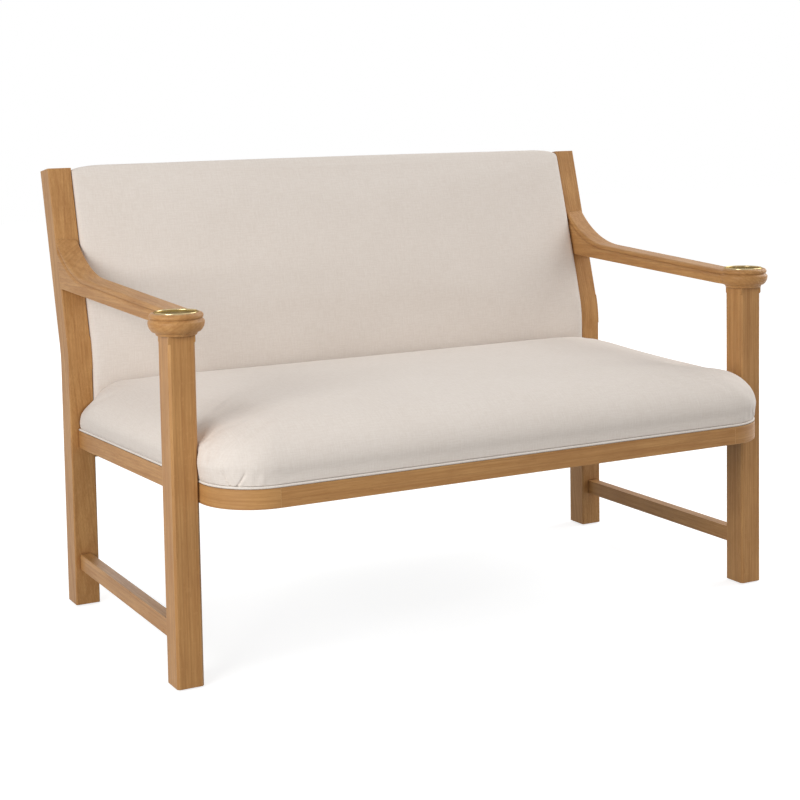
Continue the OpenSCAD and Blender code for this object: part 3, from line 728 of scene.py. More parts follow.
@dataclass(frozen=True)
class Finishes:
    """Every finish that does not belong to one board alone."""

    linen: Material
    piping: Material
    lining: Material
    jute: Material
    steel: Material
    nylon: Material

    @classmethod
    def mix(cls, effects: Effects) -> "Finishes":
        """Mixes them all."""
        recipes = (
            ClothFinish("cream_linen"),
            ClothFinish("linen_on_the_bias", body=(0.94, 0.918, 0.89), thread=0.0008, bias_deg=45.0),
            ClothFinish(
                "black_lining", body=(0.13, 0.13, 0.13), shade=(0.07, 0.07, 0.07), thread=0.0006, sheen=0.0
            ),
            ClothFinish(
                "jute_strap", body=(0.63, 0.49, 0.33), shade=(0.40, 0.28, 0.16), thread=0.0022, relief=0.0006
            ),
            PlainFinish("zinc_plated_steel", (0.80, 0.81, 0.82), (0.66, 0.67, 0.69), 0.34, 1.0),
            PlainFinish("dark_nylon", (0.20, 0.17, 0.15), (0.15, 0.13, 0.11), 0.5, 0.0),
        )
        return cls(*(recipe.material(effects) for recipe in recipes))


@dataclass(frozen=True)
class FrameLines:
    """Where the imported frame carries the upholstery, read from the boxes of its pieces."""

    post_in: float
    post_front: float
    post_back: float
    back_y: float
    rail_top: float
    rail_under: float
    rail_front: float
    corner_x: float
    side_back: float
    corner_r: float = 0.106

    @classmethod
    def read(cls) -> "FrameLines":
        """Reads the boxes.

        Returns:
            The lines in the model's own frame.
        """
        post_low, post_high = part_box("front_post_right")
        rail_low, rail_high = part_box("front_rail")
        return cls(
            post_in=post_low.x,
            post_front=post_low.y,
            post_back=post_high.y,
            back_y=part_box("back_post_right")[0].y,
            rail_top=rail_high.z,
            rail_under=rail_low.z,
            rail_front=rail_low.y,
            corner_x=rail_high.x,
            side_back=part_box("side_rail_right")[1].x,
        )

    @property
    def side_slope(self) -> float:
        """How far the side rails spread for each metre towards the back."""
        return (self.side_back - self.post_in) / (self.back_y - self.post_front)

    @property
    def side_angle(self) -> float:
        """The angle of the side rails, in radians."""
        return math.atan(self.side_slope)

    @property
    def corner_y(self) -> float:
        """Middle of the rounded front corners, from front to back."""
        return self.rail_front + self.corner_r

    def side_x(self, y: float, inset: float) -> float:
        """The side of the seat frame at y, drawn in by inset."""
        return self.post_in + (y - self.post_front) * self.side_slope - inset / math.cos(self.side_angle)

    def corner_arc(self, inset: float, steps: int) -> Ring:
        """Goes round the right front corner, from its side to its front.

        Args:
            inset: How far the arc is drawn in from the rail.
            steps: How many straight pieces it has.

        Returns:
            x, y and the direction of the outer side, in radians, at each point.
        """
        reach, start = self.corner_r - inset, -self.side_angle
        angles = [start - (math.pi / 2 + start) * i / steps for i in range(steps + 1)]
        return [(self.corner_x + reach * math.cos(a), self.corner_y + reach * math.sin(a), a) for a in angles]


@dataclass(frozen=True)
class BackLine:
    """The bent line of the back posts' front face: s runs up along it, and w runs back from it."""

    lines: FrameLines
    rake: float = math.radians(15.3)
    rail_tilt: float = math.radians(8.0)
    bend_height: float = 0.520
    bend_radius: float = 0.200
    post_depth: float = 0.052
    post_height: float = 0.894

    @property
    def outer_radius(self) -> float:
        """Radius of the bend on the front face."""
        return self.bend_radius + self.post_depth

    @property
    def tangent(self) -> float:
        """Length from the start of the bend to where its two straight lines meet."""
        return self.outer_radius * math.tan(self.rake / 2)

    @property
    def bend_z(self) -> float:
        """Height where the bend starts, at s = 0."""
        return self.bend_height - self.tangent

    @property
    def bend_length(self) -> float:
        """Length of the bend along the front face."""
        return self.outer_radius * self.rake

    @property
    def post_top(self) -> float:
        """Top of the post along its front face."""
        return (self.post_height - self.bend_height) / math.cos(self.rake) - self.tangent + self.bend_length

    @property
    def top_lean(self) -> float:
        """How far the cloth on the top rail rises along s for each metre back from the face."""
        return math.tan(self.rake - self.rail_tilt)

    def at(self, s: float, w: float) -> tuple[float, float]:
        """A point beside the line.

        Args:
            s: Distance up along the front face.
            w: Distance back from it.

        Returns:
            The point's y and z.
        """
        if s <= 0.0:
            return self.lines.back_y + w, self.bend_z + s
        if s < self.bend_length:
            turn, reach = s / self.outer_radius, self.outer_radius - w
            y = self.lines.back_y + self.outer_radius - reach * math.cos(turn)
            return y, self.bend_z + reach * math.sin(turn)
        u = s - self.bend_length + self.tangent
        y = self.lines.back_y + w * math.cos(self.rake) + u * math.sin(self.rake)
        return y, self.bend_height - w * math.sin(self.rake) + u * math.cos(self.rake)


def show(mesh: Mesh, name: str) -> Piece:
    """Puts a mesh in the scene under a name.

    Args:
        mesh: The mesh.
        name: The piece's name.

    Returns:
        The object.
    """
    for polygon in mesh.polygons:
        polygon.use_smooth = True
    made = bpy.data.objects.new(name, mesh)
    bpy.context.scene.collection.objects.link(made)
    return made


def stacked(name: str, rings: Sequence[Ring]) -> Piece:
    """Makes a closed skin over a stack of rings with the same number of points, with flat ends.

    Args:
        name: The piece's name.
        rings: The rings, in order.

    Returns:
        The piece, with its faces outwards.
    """
    count = len(rings[0])
    points = [point for ring in rings for point in ring]
    faces: list[tuple[int, ...]] = []
    for low in range(0, len(points) - count, count):
        for i in range(count):
            k = (i + 1) % count
            faces.append((low + i, low + k, low + count + k, low + count + i))
    faces.append(tuple(range(count))[::-1])
    faces.append(tuple(range(len(points) - count, len(points))))
    mesh = bpy.data.meshes.new(name)
    mesh.from_pydata(points, [], faces)
    form = bmesh.new()
    form.from_mesh(mesh)
    bmesh.ops.recalc_face_normals(form, faces=form.faces)
    form.to_mesh(mesh)
    form.free()
    return show(mesh, name)


def take_shape(piece: Piece) -> None:
    """Turns a piece's modifiers into its mesh."""
    graph = bpy.context.evaluated_depsgraph_get()
    mesh = bpy.data.meshes.new_from_object(piece.evaluated_get(graph))
    piece.modifiers.clear()
    piece.data = mesh


def read_points(mesh: Mesh) -> np.ndarray:
    """The mesh's points as rows of x, y and z."""
    points = np.zeros(len(mesh.vertices) * 3)
    mesh.vertices.foreach_get("co", points)
    return points.reshape(-1, 3)


def write_points(mesh: Mesh, points: np.ndarray) -> None:
    """Puts changed points back into the mesh."""
    mesh.vertices.foreach_set("co", points.ravel())
    mesh.update()


@dataclass(frozen=True)
class Stuffing:
    """How the padding fills out: an even mesh, blown up a little under its cloth."""

    voxel: float = 0.006
    pressure: float = 4.0
    frames: int = 20
    cap: float = 0.006
    mass: float = 0.35
    stretch: float = 30.0
    bending: float = 1.0
    quality: int = 5

    def even_out(self, piece: Piece) -> None:
        """Gives the piece an even mesh, drawn back onto the exact form.

        Args:
            piece: The piece, still as its exact form.
        """
        exact = bpy.data.objects.new(piece.name + "_form", piece.data.copy())
        bpy.context.scene.collection.objects.link(exact)
        even = piece.modifiers.new("even mesh", "REMESH")
        even.mode, even.voxel_size, even.use_smooth_shade = "VOXEL", self.voxel, True
        onto = piece.modifiers.new("exact form", "SHRINKWRAP")
        onto.target, onto.wrap_method = exact, "NEAREST_SURFACEPOINT"
        take_shape(piece)
        bpy.data.objects.remove(exact)

    def make_cloth(self, piece: Piece, held: np.ndarray) -> None:
        """Makes a piece a cloth under pressure.

        Args:
            piece: The piece.
            held: The share from 0 to 1 by which each of its points is held.
        """
        group = piece.vertex_groups.new(name="held")
        for index in np.flatnonzero(held > 0.0):
            group.add([int(index)], float(held[index]), "REPLACE")
        cloth = piece.modifiers.new("cloth", "CLOTH")
        settings = cloth.settings
        settings.quality, settings.mass, settings.bending_stiffness = self.quality, self.mass, self.bending
        settings.tension_stiffness = settings.compression_stiffness = self.stretch
        settings.use_pressure, settings.uniform_pressure_force = True, self.pressure
        settings.effector_weights.gravity = 0.0
        settings.vertex_group_mass = "held"
        cloth.collision_settings.use_collision = False
        cloth.point_cache.frame_start, cloth.point_cache.frame_end = 1, self.frames

    def fill(self, pieces: dict[str, tuple[Piece, np.ndarray]]) -> None:
        """Simulates the pieces together and applies what the cloth does, up to the cap.

        Args:
            pieces: Each piece with the share from 0 to 1 by which each of its points is held.
        """
        scene = bpy.context.scene
        for piece, held in pieces.values():
            self.make_cloth(piece, held)
        for number in range(1, self.frames + 1):
            scene.frame_set(number)
        for name, (piece, _) in pieces.items():
            before = read_points(piece.data)
            graph = bpy.context.evaluated_depsgraph_get()
            filled = piece.evaluated_get(graph).to_mesh()
            move = read_points(filled) - before
            piece.evaluated_get(graph).to_mesh_clear()
            length = np.linalg.norm(move, axis=1, keepdims=True)
            share = self.cap * np.tanh(length / self.cap) / np.maximum(length, 1e-9)
            piece.modifiers.clear()
            write_points(piece.data, before + move * share)
            log.info("%s filled out by %.1f mm at most", name, 1000 * float((length * share).max()))
        scene.frame_set(1)


def finish_soft(piece: Piece) -> None:
    """Subdivides a padded piece once and makes it smooth."""
    fine = piece.modifiers.new("finer", "SUBSURF")
    fine.levels = fine.render_levels = 1
    take_shape(piece)
    for polygon in piece.data.polygons:
        polygon.use_smooth = True


@dataclass
class BackCushion:
    """Tight upholstery between the back posts, crowned, with a rolled top that wraps the top rail."""

    line: BackLine
    half: float = 0.5997
    middle_proud: float = 0.036
    side_proud: float = 0.017
    edge_proud: float = 0.004
    edge_reach: float = 0.016
    over: float = 0.009
    roll: float = 0.022
    roll_ease: float = 0.001
    crown: float = 0.35
    corner_reach: float = 0.070
    corner_fall: float = 0.012
    bottom_above_rail: float = 0.040
    back_w: float = 0.0077
    rail_back_w: float = 0.0437
    rail_seat: float = 0.0077
    shrink: float = 0.003
    spare: float = 0.003
    hold_behind: float = 0.012
    hold_side: tuple[float, float] = (0.012, 0.003)
    hold_foot: tuple[float, float] = (0.070, 0.045)
    end_angles: tuple[float, ...] = (25.0, 45.0, 65.0)
    face_steps: int = 40
    roll_steps: int = 8
    rail_steps: int = 4
    rear_steps: int = 12
    columns: int = 61

    @property
    def bottom(self) -> float:
        """Lower edge, as a distance up the back line."""
        return self.line.lines.rail_top + self.bottom_above_rail - self.line.bend_z

    def proud(self, x: float, s: float) -> float:
        """How far the padding stands out in front of the posts.

        Args:
            x: Across the settee.
            s: Up the back.

        Returns:
            The distance in metres.
        """
        inward = min(1.0, (self.half - abs(x)) / self.edge_reach)
        swell = math.sqrt(max(0.0, 1 - (1 - inward) ** 2))
        edge = self.edge_proud + (self.side_proud - self.edge_proud) * swell
        across = edge + (self.middle_proud - self.side_proud) * (1 - (x / self.half) ** 2)
        middle = (self.bottom + self.line.post_top) / 2
        reach = (self.line.post_top - self.bottom) / 2
        return across * (1 - self.crown * ((s - middle) / reach) ** 2)

    def top(self, x: float) -> float:
        """Top of the padding at x, as a distance up the back line."""
        past = max(0.0, abs(x) - self.half + self.corner_reach) / self.corner_reach
        return self.line.post_top + self.over - self.corner_fall * round_drop(past)

    def section(self, x: float) -> Ring:
        """The closed outline of the padding at x, drawn in for the filling.

        Args:
            x: Across the settee.

        Returns:
            Points from the bottom up the front, over the roll and down the back.
        """
        line = self.line
        top, low = self.top(x) - self.shrink, self.bottom
        stand = self.proud(x, top) - self.shrink
        radius = min(self.roll, stand + self.back_w) - self.roll_ease
        points = [(low, self.back_w)]
        for i in range(self.face_steps + 1):
            s = low + (top - radius - low) * i / self.face_steps
            points.append((s, self.shrink - self.proud(x, s)))
        for i in range(1, self.roll_steps + 1):
            a = math.radians(90.0 * i / self.roll_steps)
            points.append((top - radius + radius * math.sin(a), radius * (1 - math.cos(a)) - stand))
        for i in range(1, self.rail_steps + 1):
            w = radius - stand + (self.rail_back_w - radius + stand) * i / self.rail_steps
            points.append((top + max(0.0, w - self.back_w) * line.top_lean, w))
        seat = line.post_top - self.rail_seat
        points += [(seat, self.rail_back_w), (seat, self.back_w)]
        fall = [(low - seat) * i / self.rear_steps for i in range(1, self.rear_steps)]
        points += [(seat + drop, self.back_w) for drop in fall]
        return [(x, *line.at(s, w)) for s, w in points]

    def form(self) -> Piece:
        """Builds the exact form across the back, with its ends a little past where they are cut.

        Returns:
            The piece before it is filled.
        """
        inner = self.half - self.edge_reach
        turns = [self.half - self.edge_reach * (1 - math.cos(math.radians(a))) for a in self.end_angles]
        ends = [self.half + self.spare, *turns]
        across = [*ends, *np.linspace(inner, -inner, self.columns), *(-x for x in ends[::-1])]
        return stacked("back_cushion", [self.section(float(x)) for x in across])

    def held(self, points: np.ndarray) -> np.ndarray:
        """Says which points the frame holds still.

        Args:
            points: The piece's points.

        Returns:
            A share from 0, free, to 1, held, for each point.
        """
        lines, lean = self.line.lines, math.tan(self.line.rake)
        side_low, side_high = (self.half - inset for inset in self.hold_side)
        foot_high, foot_low = (lines.rail_top + rise for rise in self.hold_foot)
        hold = np.zeros(len(points))
        for i, (x, y, z) in enumerate(points):
            face = lines.back_y + max(0.0, z - self.line.bend_height) * lean
            behind = smooth_step(-self.hold_behind, 0.0, y - face)
            side = smooth_step(side_low, side_high, abs(x))
            hold[i] = max(behind, side, smooth_step(foot_high, foot_low, z))
        return hold

    def keep_in(self, piece: Piece) -> None:
        """Keeps the ends clear of the posts."""
        points = read_points(piece.data)
        points[:, 0] = np.clip(points[:, 0], -self.half, self.half)
        write_points(piece.data, points)


@dataclass(frozen=True)
class Tuck:
    """One sewn-in fold at a front corner, from its open top down to the piping."""

    top_deg: float
    top_z: float
    foot_deg: float
    foot_z: float
    side: float = 1.0
    depth: float = 0.0022
    width: float = 0.0022
    ridge: float = 0.32
    ridge_off: float = 2.6
    ridge_width: float = 1.6
    curve: float = 1.6

    def fold(self, angle: float, radius: float, z: float) -> float:
        """How far the tuck draws a point in, or pushes it out where that is below 0.

        Args:
            angle: Round the corner, in degrees.
            radius: From the corner's middle.
            z: Height.

        Returns:
            The distance in metres.
        """
        up = (z - self.foot_z) / (self.top_z - self.foot_z)
        run = min(1.0, max(0.0, up))
        line = self.foot_deg + (self.top_deg - self.foot_deg) * (1 - (1 - run) ** self.curve)
        off = math.radians(angle - line) * radius * self.side
        fade = smooth_step(1.25, 0.35, up) * smooth_step(-0.3, 0.15, up)
        groove = math.exp(-((off / self.width) ** 2))
        beside = (off - self.ridge_off * self.width) / (self.ridge_width * self.width)
        return self.depth * fade * (groove - self.ridge * math.exp(-(beside ** 2)))


@dataclass
class SeatCushion:
    """Tight seat, crowned and rolled over its edges, cut out round the front posts."""

    lines: FrameLines
    back: BackCushion
    crown: float = 0.118
    edge: float = 0.103
    bulge: float = 0.008
    bulge_height: float = 0.034
    roll: float = 0.072
    crease: float = 0.012
    foot_inset: float = 0.0056
    piping: float = 0.0048
    gap: float = 0.0003
    tuck_reach: float = 0.090
    tuck_rise: float = 0.045
    shrink: float = 0.002
    strap: float = 0.0024
    piping_inset: float = 0.0026
    piping_reach: float = 0.0030
    settle_drop: float = 0.0060
    settle_low: float = 0.012
    settle_high: float = 0.024
    settle_width: float = 0.0090
    hold_foot: tuple[float, float] = (0.016, 0.007)
    hold_rear: tuple[float, float] = (0.050, 0.036)
    hold_post: tuple[float, float] = (0.014, 0.004)
    hold_beside: tuple[float, float] = (0.012, 0.004)
    fold_band: tuple[float, float] = (0.08, 0.125)
    fold_angles: tuple[float, float] = (195.0, 255.0)
    side_steps: int = 56
    post_steps: int = 7
    corner_steps: int = 16
    front_steps: int = 100
    rear_steps: int = 121
    roll_steps: int = 24
    crown_steps: int = 18
    crown_share: float = 0.98
    tucks: tuple[Tuck, ...] = (
        Tuck(214.0, 0.403, 221.5, 0.3685, side=-1.0),
        Tuck(236.5, 0.394, 228.0, 0.3675),
    )

    def side_at(self, y: float, inset: float, z: float) -> float:
        """The side of the seat at y and z, tucked in where it meets the back posts.

        Args:
            y: From front to back.
            inset: How far the side is drawn in.
            z: Height.

        Returns:
            Its distance from the middle.
        """
        near = max(0.0, 1 - (self.lines.back_y - y) / self.tuck_reach)
        rise = min(10.0 * max(0.0, z - self.lines.rail_top) ** 2, self.tuck_rise)
        return self.lines.side_x(y, inset + near * near * rise)

    def beside_post(self, x: float, y: float) -> float:
        """Keeps the side clear of the front post where it passes it."""
        passing = self.lines.post_front - self.gap <= y <= self.lines.post_back + self.gap
        return min(x, self.lines.post_in - self.gap) if passing else x

    def ring(self, inset: float, behind: float, z: float) -> Ring:
        """One level of the seat form.

        Args:
            inset: How far the front and sides are drawn in.
            behind: How far the back edge is drawn in.
            z: Its height.

        Returns:
            The closed outline.
        """
        lines, back, gap = self.lines, self.back, self.gap
        level = lines.rail_top + self.crown - back.line.bend_z
        rear_y = lines.back_y - gap - behind
        x_back = self.side_at(lines.back_y, inset, z)
        y_end = rear_y - (back.proud(x_back, level) if x_back < back.half else 0.0)
        ys = [*np.linspace(y_end, lines.post_back + 0.004, self.side_steps)]
        ys += [lines.post_back + 2 * gap, lines.post_back + gap]
        ys += [*np.linspace(lines.post_back, lines.post_front, self.post_steps)]
        ys += [lines.post_front - gap, lines.post_front - 2 * gap]
        right = [(self.beside_post(self.side_at(y, inset, z), y), float(y), z) for y in ys]
        right += [(x, y, z) for x, y, _ in lines.corner_arc(inset, self.corner_steps)]
        xs = np.linspace(lines.corner_x, -lines.corner_x, self.front_steps)[1:-1]
        front = [(float(x), lines.rail_front + inset, z) for x in xs]
        left = [(-x, y, z) for x, y, _ in right[::-1]]
        reach = min(back.half, x_back - 0.0005)
        turns = np.linspace(-1, 1, self.rear_steps)[1:-1] * math.pi / 2
        rear = [(x, rear_y - back.proud(x, level), z) for x in (reach * math.sin(t) for t in turns)]
        return right + front + left + rear

    def form(self) -> Piece:
        """Builds the exact form of the seat.

        Returns:
            The piece before it is filled.
        """
        lines, drawn, base = self.lines, self.shrink, self.lines.rail_top
        foot = (
            (self.foot_inset + drawn, self.strap),
            (self.foot_inset, self.piping + 0.0002),
            (0.001 + drawn, self.piping + 0.004),
            (drawn - 0.6 * self.bulge, self.bulge_height / 2),
        )
        rings = [self.ring(inset, 0.0, base + rise) for inset, rise in foot]
        for i in range(self.roll_steps + 1):
            t = math.radians(90.0 * i / self.roll_steps)
            inset = drawn - self.bulge + (self.roll + self.bulge) * (1 - math.cos(t))
            z = base + self.bulge_height + (self.edge - self.bulge_height - drawn) * math.sin(t)
            rings.append(self.ring(inset, self.crease * (1 - math.cos(t)), z))
        rim = rings[-1]
        middle = (lines.back_y + lines.rail_front - self.back.middle_proud) / 2
        for i in range(1, self.crown_steps + 1):
            s = 1 - self.crown_share * i / self.crown_steps
            z = rim[0][2] + (self.crown - self.edge) * (1 - s * s)
            rings.append([(x * s, middle + (y - middle) * s, z) for x, y, _ in rim])
        return stacked("seat_cushion", rings)

    def held(self, points: np.ndarray) -> np.ndarray:
        """Says which points the frame and the tacks hold still.

        Args:
            points: The piece's points.

        Returns:
            A share from 0, free, to 1, held, for each point.
        """
        lines = self.lines
        foot_free, foot_tight = (lines.rail_top + rise for rise in self.hold_foot)
        rear_free, rear_tight = (lines.back_y - reach for reach in self.hold_rear)
        side_free, side_tight = (lines.post_in - reach for reach in self.hold_beside)
        hold = np.zeros(len(points))
        for i, (x, y, z) in enumerate(points):
            foot = smooth_step(foot_free, foot_tight, z)
            rear = smooth_step(rear_free, rear_tight, y)
            by_post = smooth_step(*self.hold_post, max(lines.post_front - y, y - lines.post_back))
            hold[i] = max(foot, rear, by_post * smooth_step(side_free, side_tight, abs(x)))
        return hold

    def settle(self, points: np.ndarray) -> None:
        """Lets the lower turn of the front and sides down until it lies over the piping.

        Args:
            points: The piece's points, which are changed in place.
        """
        lines = self.lines
        x, y, z = np.abs(points[:, 0]), points[:, 1], points[:, 2] - lines.rail_top
        beside = (lines.post_in + (y - lines.post_front) * lines.side_slope - x) * math.cos(lines.side_angle)
        round_corner = lines.corner_r - np.hypot(x - lines.corner_x, y - lines.corner_y)
        inset = np.where(y < lines.corner_y, round_corner, beside)
        inset = np.where(x < lines.corner_x, y - lines.rail_front, inset)
        share = np.clip((z - self.settle_low) / (self.settle_high - self.settle_low), 0.0, 1.0)
        drop = self.settle_drop * (1 - share * share * (3 - 2 * share))
        across = (inset - self.piping_inset) / self.piping_reach
        floor = self.strap + self.piping_reach * np.sqrt(np.clip(1 - across * across, 0.0, 1.0))
        low = (np.abs(inset) < self.settle_width) & (z > self.strap)
        points[low, 2] = lines.rail_top + np.maximum(z - drop, floor)[low]

    def keep_in(self, piece: Piece) -> None:
        """Settles the lower turn on the piping, and moves what lies in a front post back beside it."""
        points = read_points(piece.data)
        self.settle(points)
        limit = self.lines.post_in - self.gap
        fore, aft = self.lines.post_front - self.gap, self.lines.post_back + self.gap
        for point in points:
            deep, ahead, after = abs(point[0]) - limit, point[1] - fore, aft - point[1]
            if deep <= 0.0 or ahead <= 0.0 or after <= 0.0:
                continue
            if deep <= min(ahead, after):
                point[0] = math.copysign(limit, point[0])
            else:
                point[1] = fore if ahead < after else aft
        write_points(piece.data, points)

    def on_corner(self, point: Sequence[float]) -> tuple[float, float]:
        """A place near a front corner, seen from the corner's middle.

        Args:
            point: x, y and z.

        Returns:
            The angle in degrees, mirrored to the left corner, and the radius.
        """
        x, y = abs(point[0]) - self.lines.corner_x, point[1] - self.lines.corner_y
        return 180.0 + math.degrees(math.atan2(-y, x)), math.hypot(x, y)

    def fold(self, point: Sequence[float]) -> float:
        """How far the tucks together draw a point in.

        Args:
            point: x, y and z.

        Returns:
            The distance in metres.
        """
        angle, radius = self.on_corner(point)
        first, last = self.fold_angles
        near = first < angle < last and self.fold_band[0] < radius < self.fold_band[1]
        if not near or point[2] <= self.lines.rail_top + 0.003:
            return 0.0
        return sum(tuck.fold(angle, radius, point[2]) for tuck in self.tucks)

    def near_tuck(self, point: Sequence[float], reach: float) -> bool:
        """True where a point lies within reach of a tuck."""
        angle, radius = self.on_corner(point)
        margin = math.degrees(reach / self.lines.corner_r)
        around = self.tucks[0].top_deg - margin < angle < self.tucks[1].top_deg + margin
        level = self.lines.rail_top < point[2] < self.tucks[0].top_z + reach
        return around and level and self.fold_band[0] < radius < self.fold_band[1]

    def sew_tucks(self, piece: Piece) -> None:
        """Cuts the mesh finer at the front corners and folds the tucks into it.

        Args:
            piece: The filled seat.
        """
        form = bmesh.new()
        form.from_mesh(piece.data)
        for reach in (0.016, 0.011):
            near = {f for f in form.faces if self.near_tuck(f.calc_center_median(), reach)}
            edges = {e for f in near for e in f.edges}
            bmesh.ops.subdivide_edges(form, edges=list(edges), cuts=1, use_grid_fill=True)
        form.normal_update()
        moves = [(v, v.normal * self.fold(v.co)) for v in form.verts]
        for vertex, move in moves:
            vertex.co -= move
        form.to_mesh(piece.data)
        form.free()


@dataclass
class SeatPiping:
    """Covered cord along the front and ends of the seat, on top of the rails."""

    lines: FrameLines
    diameter: float = 0.0048
    inset: float = 0.0026
    gap: float = 0.0003
    bend: float = 0.012
    ripple: float = 0.03
    ripple_scale: float = 60.0
    sides: int = 16
    bend_steps: int = 7
    side_steps: int = 60
    front_steps: int = 60
    corner_steps: int = 28

    def path(self) -> Ring:
        """Stations from one back post round the front to the other.

        Returns:
            x, y and the direction of the cord's outer side, in radians, at each station.
        """
        lines = self.lines
        slant = -lines.side_angle
        beside = lines.post_in - self.gap - self.diameter / 2
        ys = np.linspace(lines.back_y - self.gap, lines.post_back + self.bend, self.side_steps)
        found = [(lines.side_x(float(y), self.inset), float(y), slant) for y in ys]
        for i in range(1, self.bend_steps + 1):
            share = smooth_step(0.0, 1.0, i / self.bend_steps)
            y = lines.post_back + self.bend * (1 - i / self.bend_steps)
            free = lines.side_x(y, self.inset)
            found.append((free + (beside - free) * share, y, slant * (1 - share)))
        ys = np.linspace(lines.post_back - 0.007, lines.post_front, self.bend_steps)
        found += [(beside, float(y), 0.0) for y in ys]
        found += lines.corner_arc(self.inset, self.corner_steps)
        xs = [*np.linspace(lines.corner_x, 0.0, self.front_steps)[1:-1], 0.0]
        found += [(float(x), lines.rail_front + self.inset, -math.pi / 2) for x in xs]
        return found + [(-x, y, math.pi - a) for x, y, a in found[-2::-1]]

    def build(self) -> Piece:
        """Draws the cord, with the faint ripple of a hand-covered one.

        Returns:
            The piece.
        """
        rings = []
        for x, y, out in self.path():
            spot = Vector((x * self.ripple_scale, y * self.ripple_scale, 0.3))
            radius = self.diameter / 2 * (1.0 + self.ripple * noise.noise(spot))
            ring = []
            for i in range(self.sides):
                a = math.tau * i / self.sides
                z = self.lines.rail_top + self.diameter / 2 * (1 + math.sin(a))
                reach = radius * math.cos(a)
                ring.append((x + reach * math.cos(out), y + reach * math.sin(out), z))
            rings.append(ring)
        return stacked("seat_piping", rings)


@dataclass
class OutsideBack:
    """Linen drawn over the board behind the back."""

    line: BackLine
    half: float = 0.5997
    front_w: float = 0.0440
    thickness: float = 0.0070
    edge: float = 0.0030
    below_rail: float = 0.032
    below_top: float = 0.006
    outer_steps: int = 64
    inner_steps: int = 20
    columns: int = 41
    end_angles: tuple[float, ...] = (0.0, 20.0, 40.0, 60.0, 80.0)

    @property
    def low(self) -> float:
        """Lower edge, as a distance up the back line."""
        return self.line.lines.rail_top - self.below_rail - self.line.bend_z

    @property
    def high(self) -> float:
        """Upper edge, as a distance up the back line."""
        return self.line.post_top - self.below_top

    def section(self, x: float) -> Ring:
        """The closed outline of the panel at x.

        Args:
            x: Across the settee.

        Returns:
            Points up its outer side and down its inner side.
        """
        drawn = self.edge * round_drop(max(0.0, abs(x) - self.half + self.edge) / self.edge)
        height = self.high - self.low
        points = []
        for i in range(self.outer_steps + 1):
            share = i / self.outer_steps
            s = self.low + drawn + (height - 2 * drawn) * share
            dip = max(0.0, self.edge - min(share, 1 - share) * height) / self.edge
            w = self.front_w + self.thickness - drawn - self.edge * round_drop(dip)
            points.append((s + (w - self.front_w) * self.line.top_lean * share, w))
        for i in range(self.inner_steps + 1):
            s = self.high - drawn + (2 * drawn - height) * i / self.inner_steps
            points.append((s, self.front_w + drawn / 4))
        return [(x, *self.line.at(s, w)) for s, w in points]

    def build(self) -> Piece:
        """Builds the panel.

        Returns:
            The piece.
        """
        ends = [self.half - self.edge * (1 - math.cos(math.radians(a))) for a in self.end_angles]
        inner = self.half - 2 * self.edge
        across = [*ends, *np.linspace(inner, -inner, self.columns), *(-x for x in ends[::-1])]
        return stacked("outside_back_panel", [self.section(float(x)) for x in across])

    @property
    def flat(self) -> tuple[float, float]:
        """The size that the cloth was cut to, with both sides of the fold counted once."""
        return 2 * self.half, self.high - self.low


@dataclass
class DustCloth:
    """Black lining stretched under the seat frame, with a turned hem."""

    lines: FrameLines
    inset: float = 0.009
    gap: float = 0.0003
    hem: float = 0.012
    hem_edge: float = 0.001
    hem_share: float = 0.6
    sag: float = 0.0025
    sag_reach: float = 0.2
    thickness: float = 0.0011
    rail_gap: float = 0.012
    corner_step_deg: int = 6
    side_steps: int = 60
    half_steps: int = 30

    def half_width(self, y: float) -> float:
        """Half of the cloth's width at y."""
        lines = self.lines
        if y < lines.corner_y:
            reach = lines.corner_r - self.inset
            return lines.corner_x + math.sqrt(max(0.0, reach * reach - (lines.corner_y - y) ** 2))
        return lines.side_x(y, self.inset)

    def rows(self) -> list[tuple[float, float]]:
        """Each row's y and half width, from the front to the back rail."""
        lines = self.lines
        front, end = lines.rail_front + self.inset, lines.back_y - self.gap
        angles = range(0, 90, self.corner_step_deg)
        turn = [front + (lines.corner_y - front) * (1 - math.cos(math.radians(a))) for a in angles]
        ys = [*turn, *np.linspace(lines.corner_y, end - 0.0002, self.side_steps)]
        found = [(float(y), self.half_width(float(y))) for y in ys]
        narrow = lines.post_in - self.gap
        return found + [(end, narrow), (end + self.rail_gap, narrow)]

    def build(self) -> Piece:
        """Builds the cloth.

        Returns:
            The piece.
        """
        rows = self.rows()
        first, last = rows[0][0], rows[-1][0]
        rings = []
        for y, half in rows:
            under, over = [], []
            for i in range(2 * self.half_steps + 1):
                x = half * math.sin(math.radians(90) * (i / self.half_steps - 1))
                inward = min(half - abs(x), y - first, last - y)
                turned = smooth_step(self.hem, self.hem - self.hem_edge, inward)
                z = self.lines.rail_under - self.gap - self.sag * smooth_step(0.0, self.sag_reach, inward)
                under.append((x, y, z - self.thickness * (1 + self.hem_share * turned)))
                over.append((x, y, z))
            rings.append(under + over[::-1])
        return stacked("dust_cloth", rings)

    def area(self) -> float:
        """The cloth's flat area in square metres."""
        rows = self.rows()
        return sum((b[0] - a[0]) * (a[1] + b[1]) for a, b in zip(rows, rows[1:]))

    def flat(self) -> tuple[float, float]:
        """The rectangle that the cloth was cut from, with its hem."""
        rows = self.rows()
        return 2 * max(half for _, half in rows), rows[-1][0] - rows[0][0]


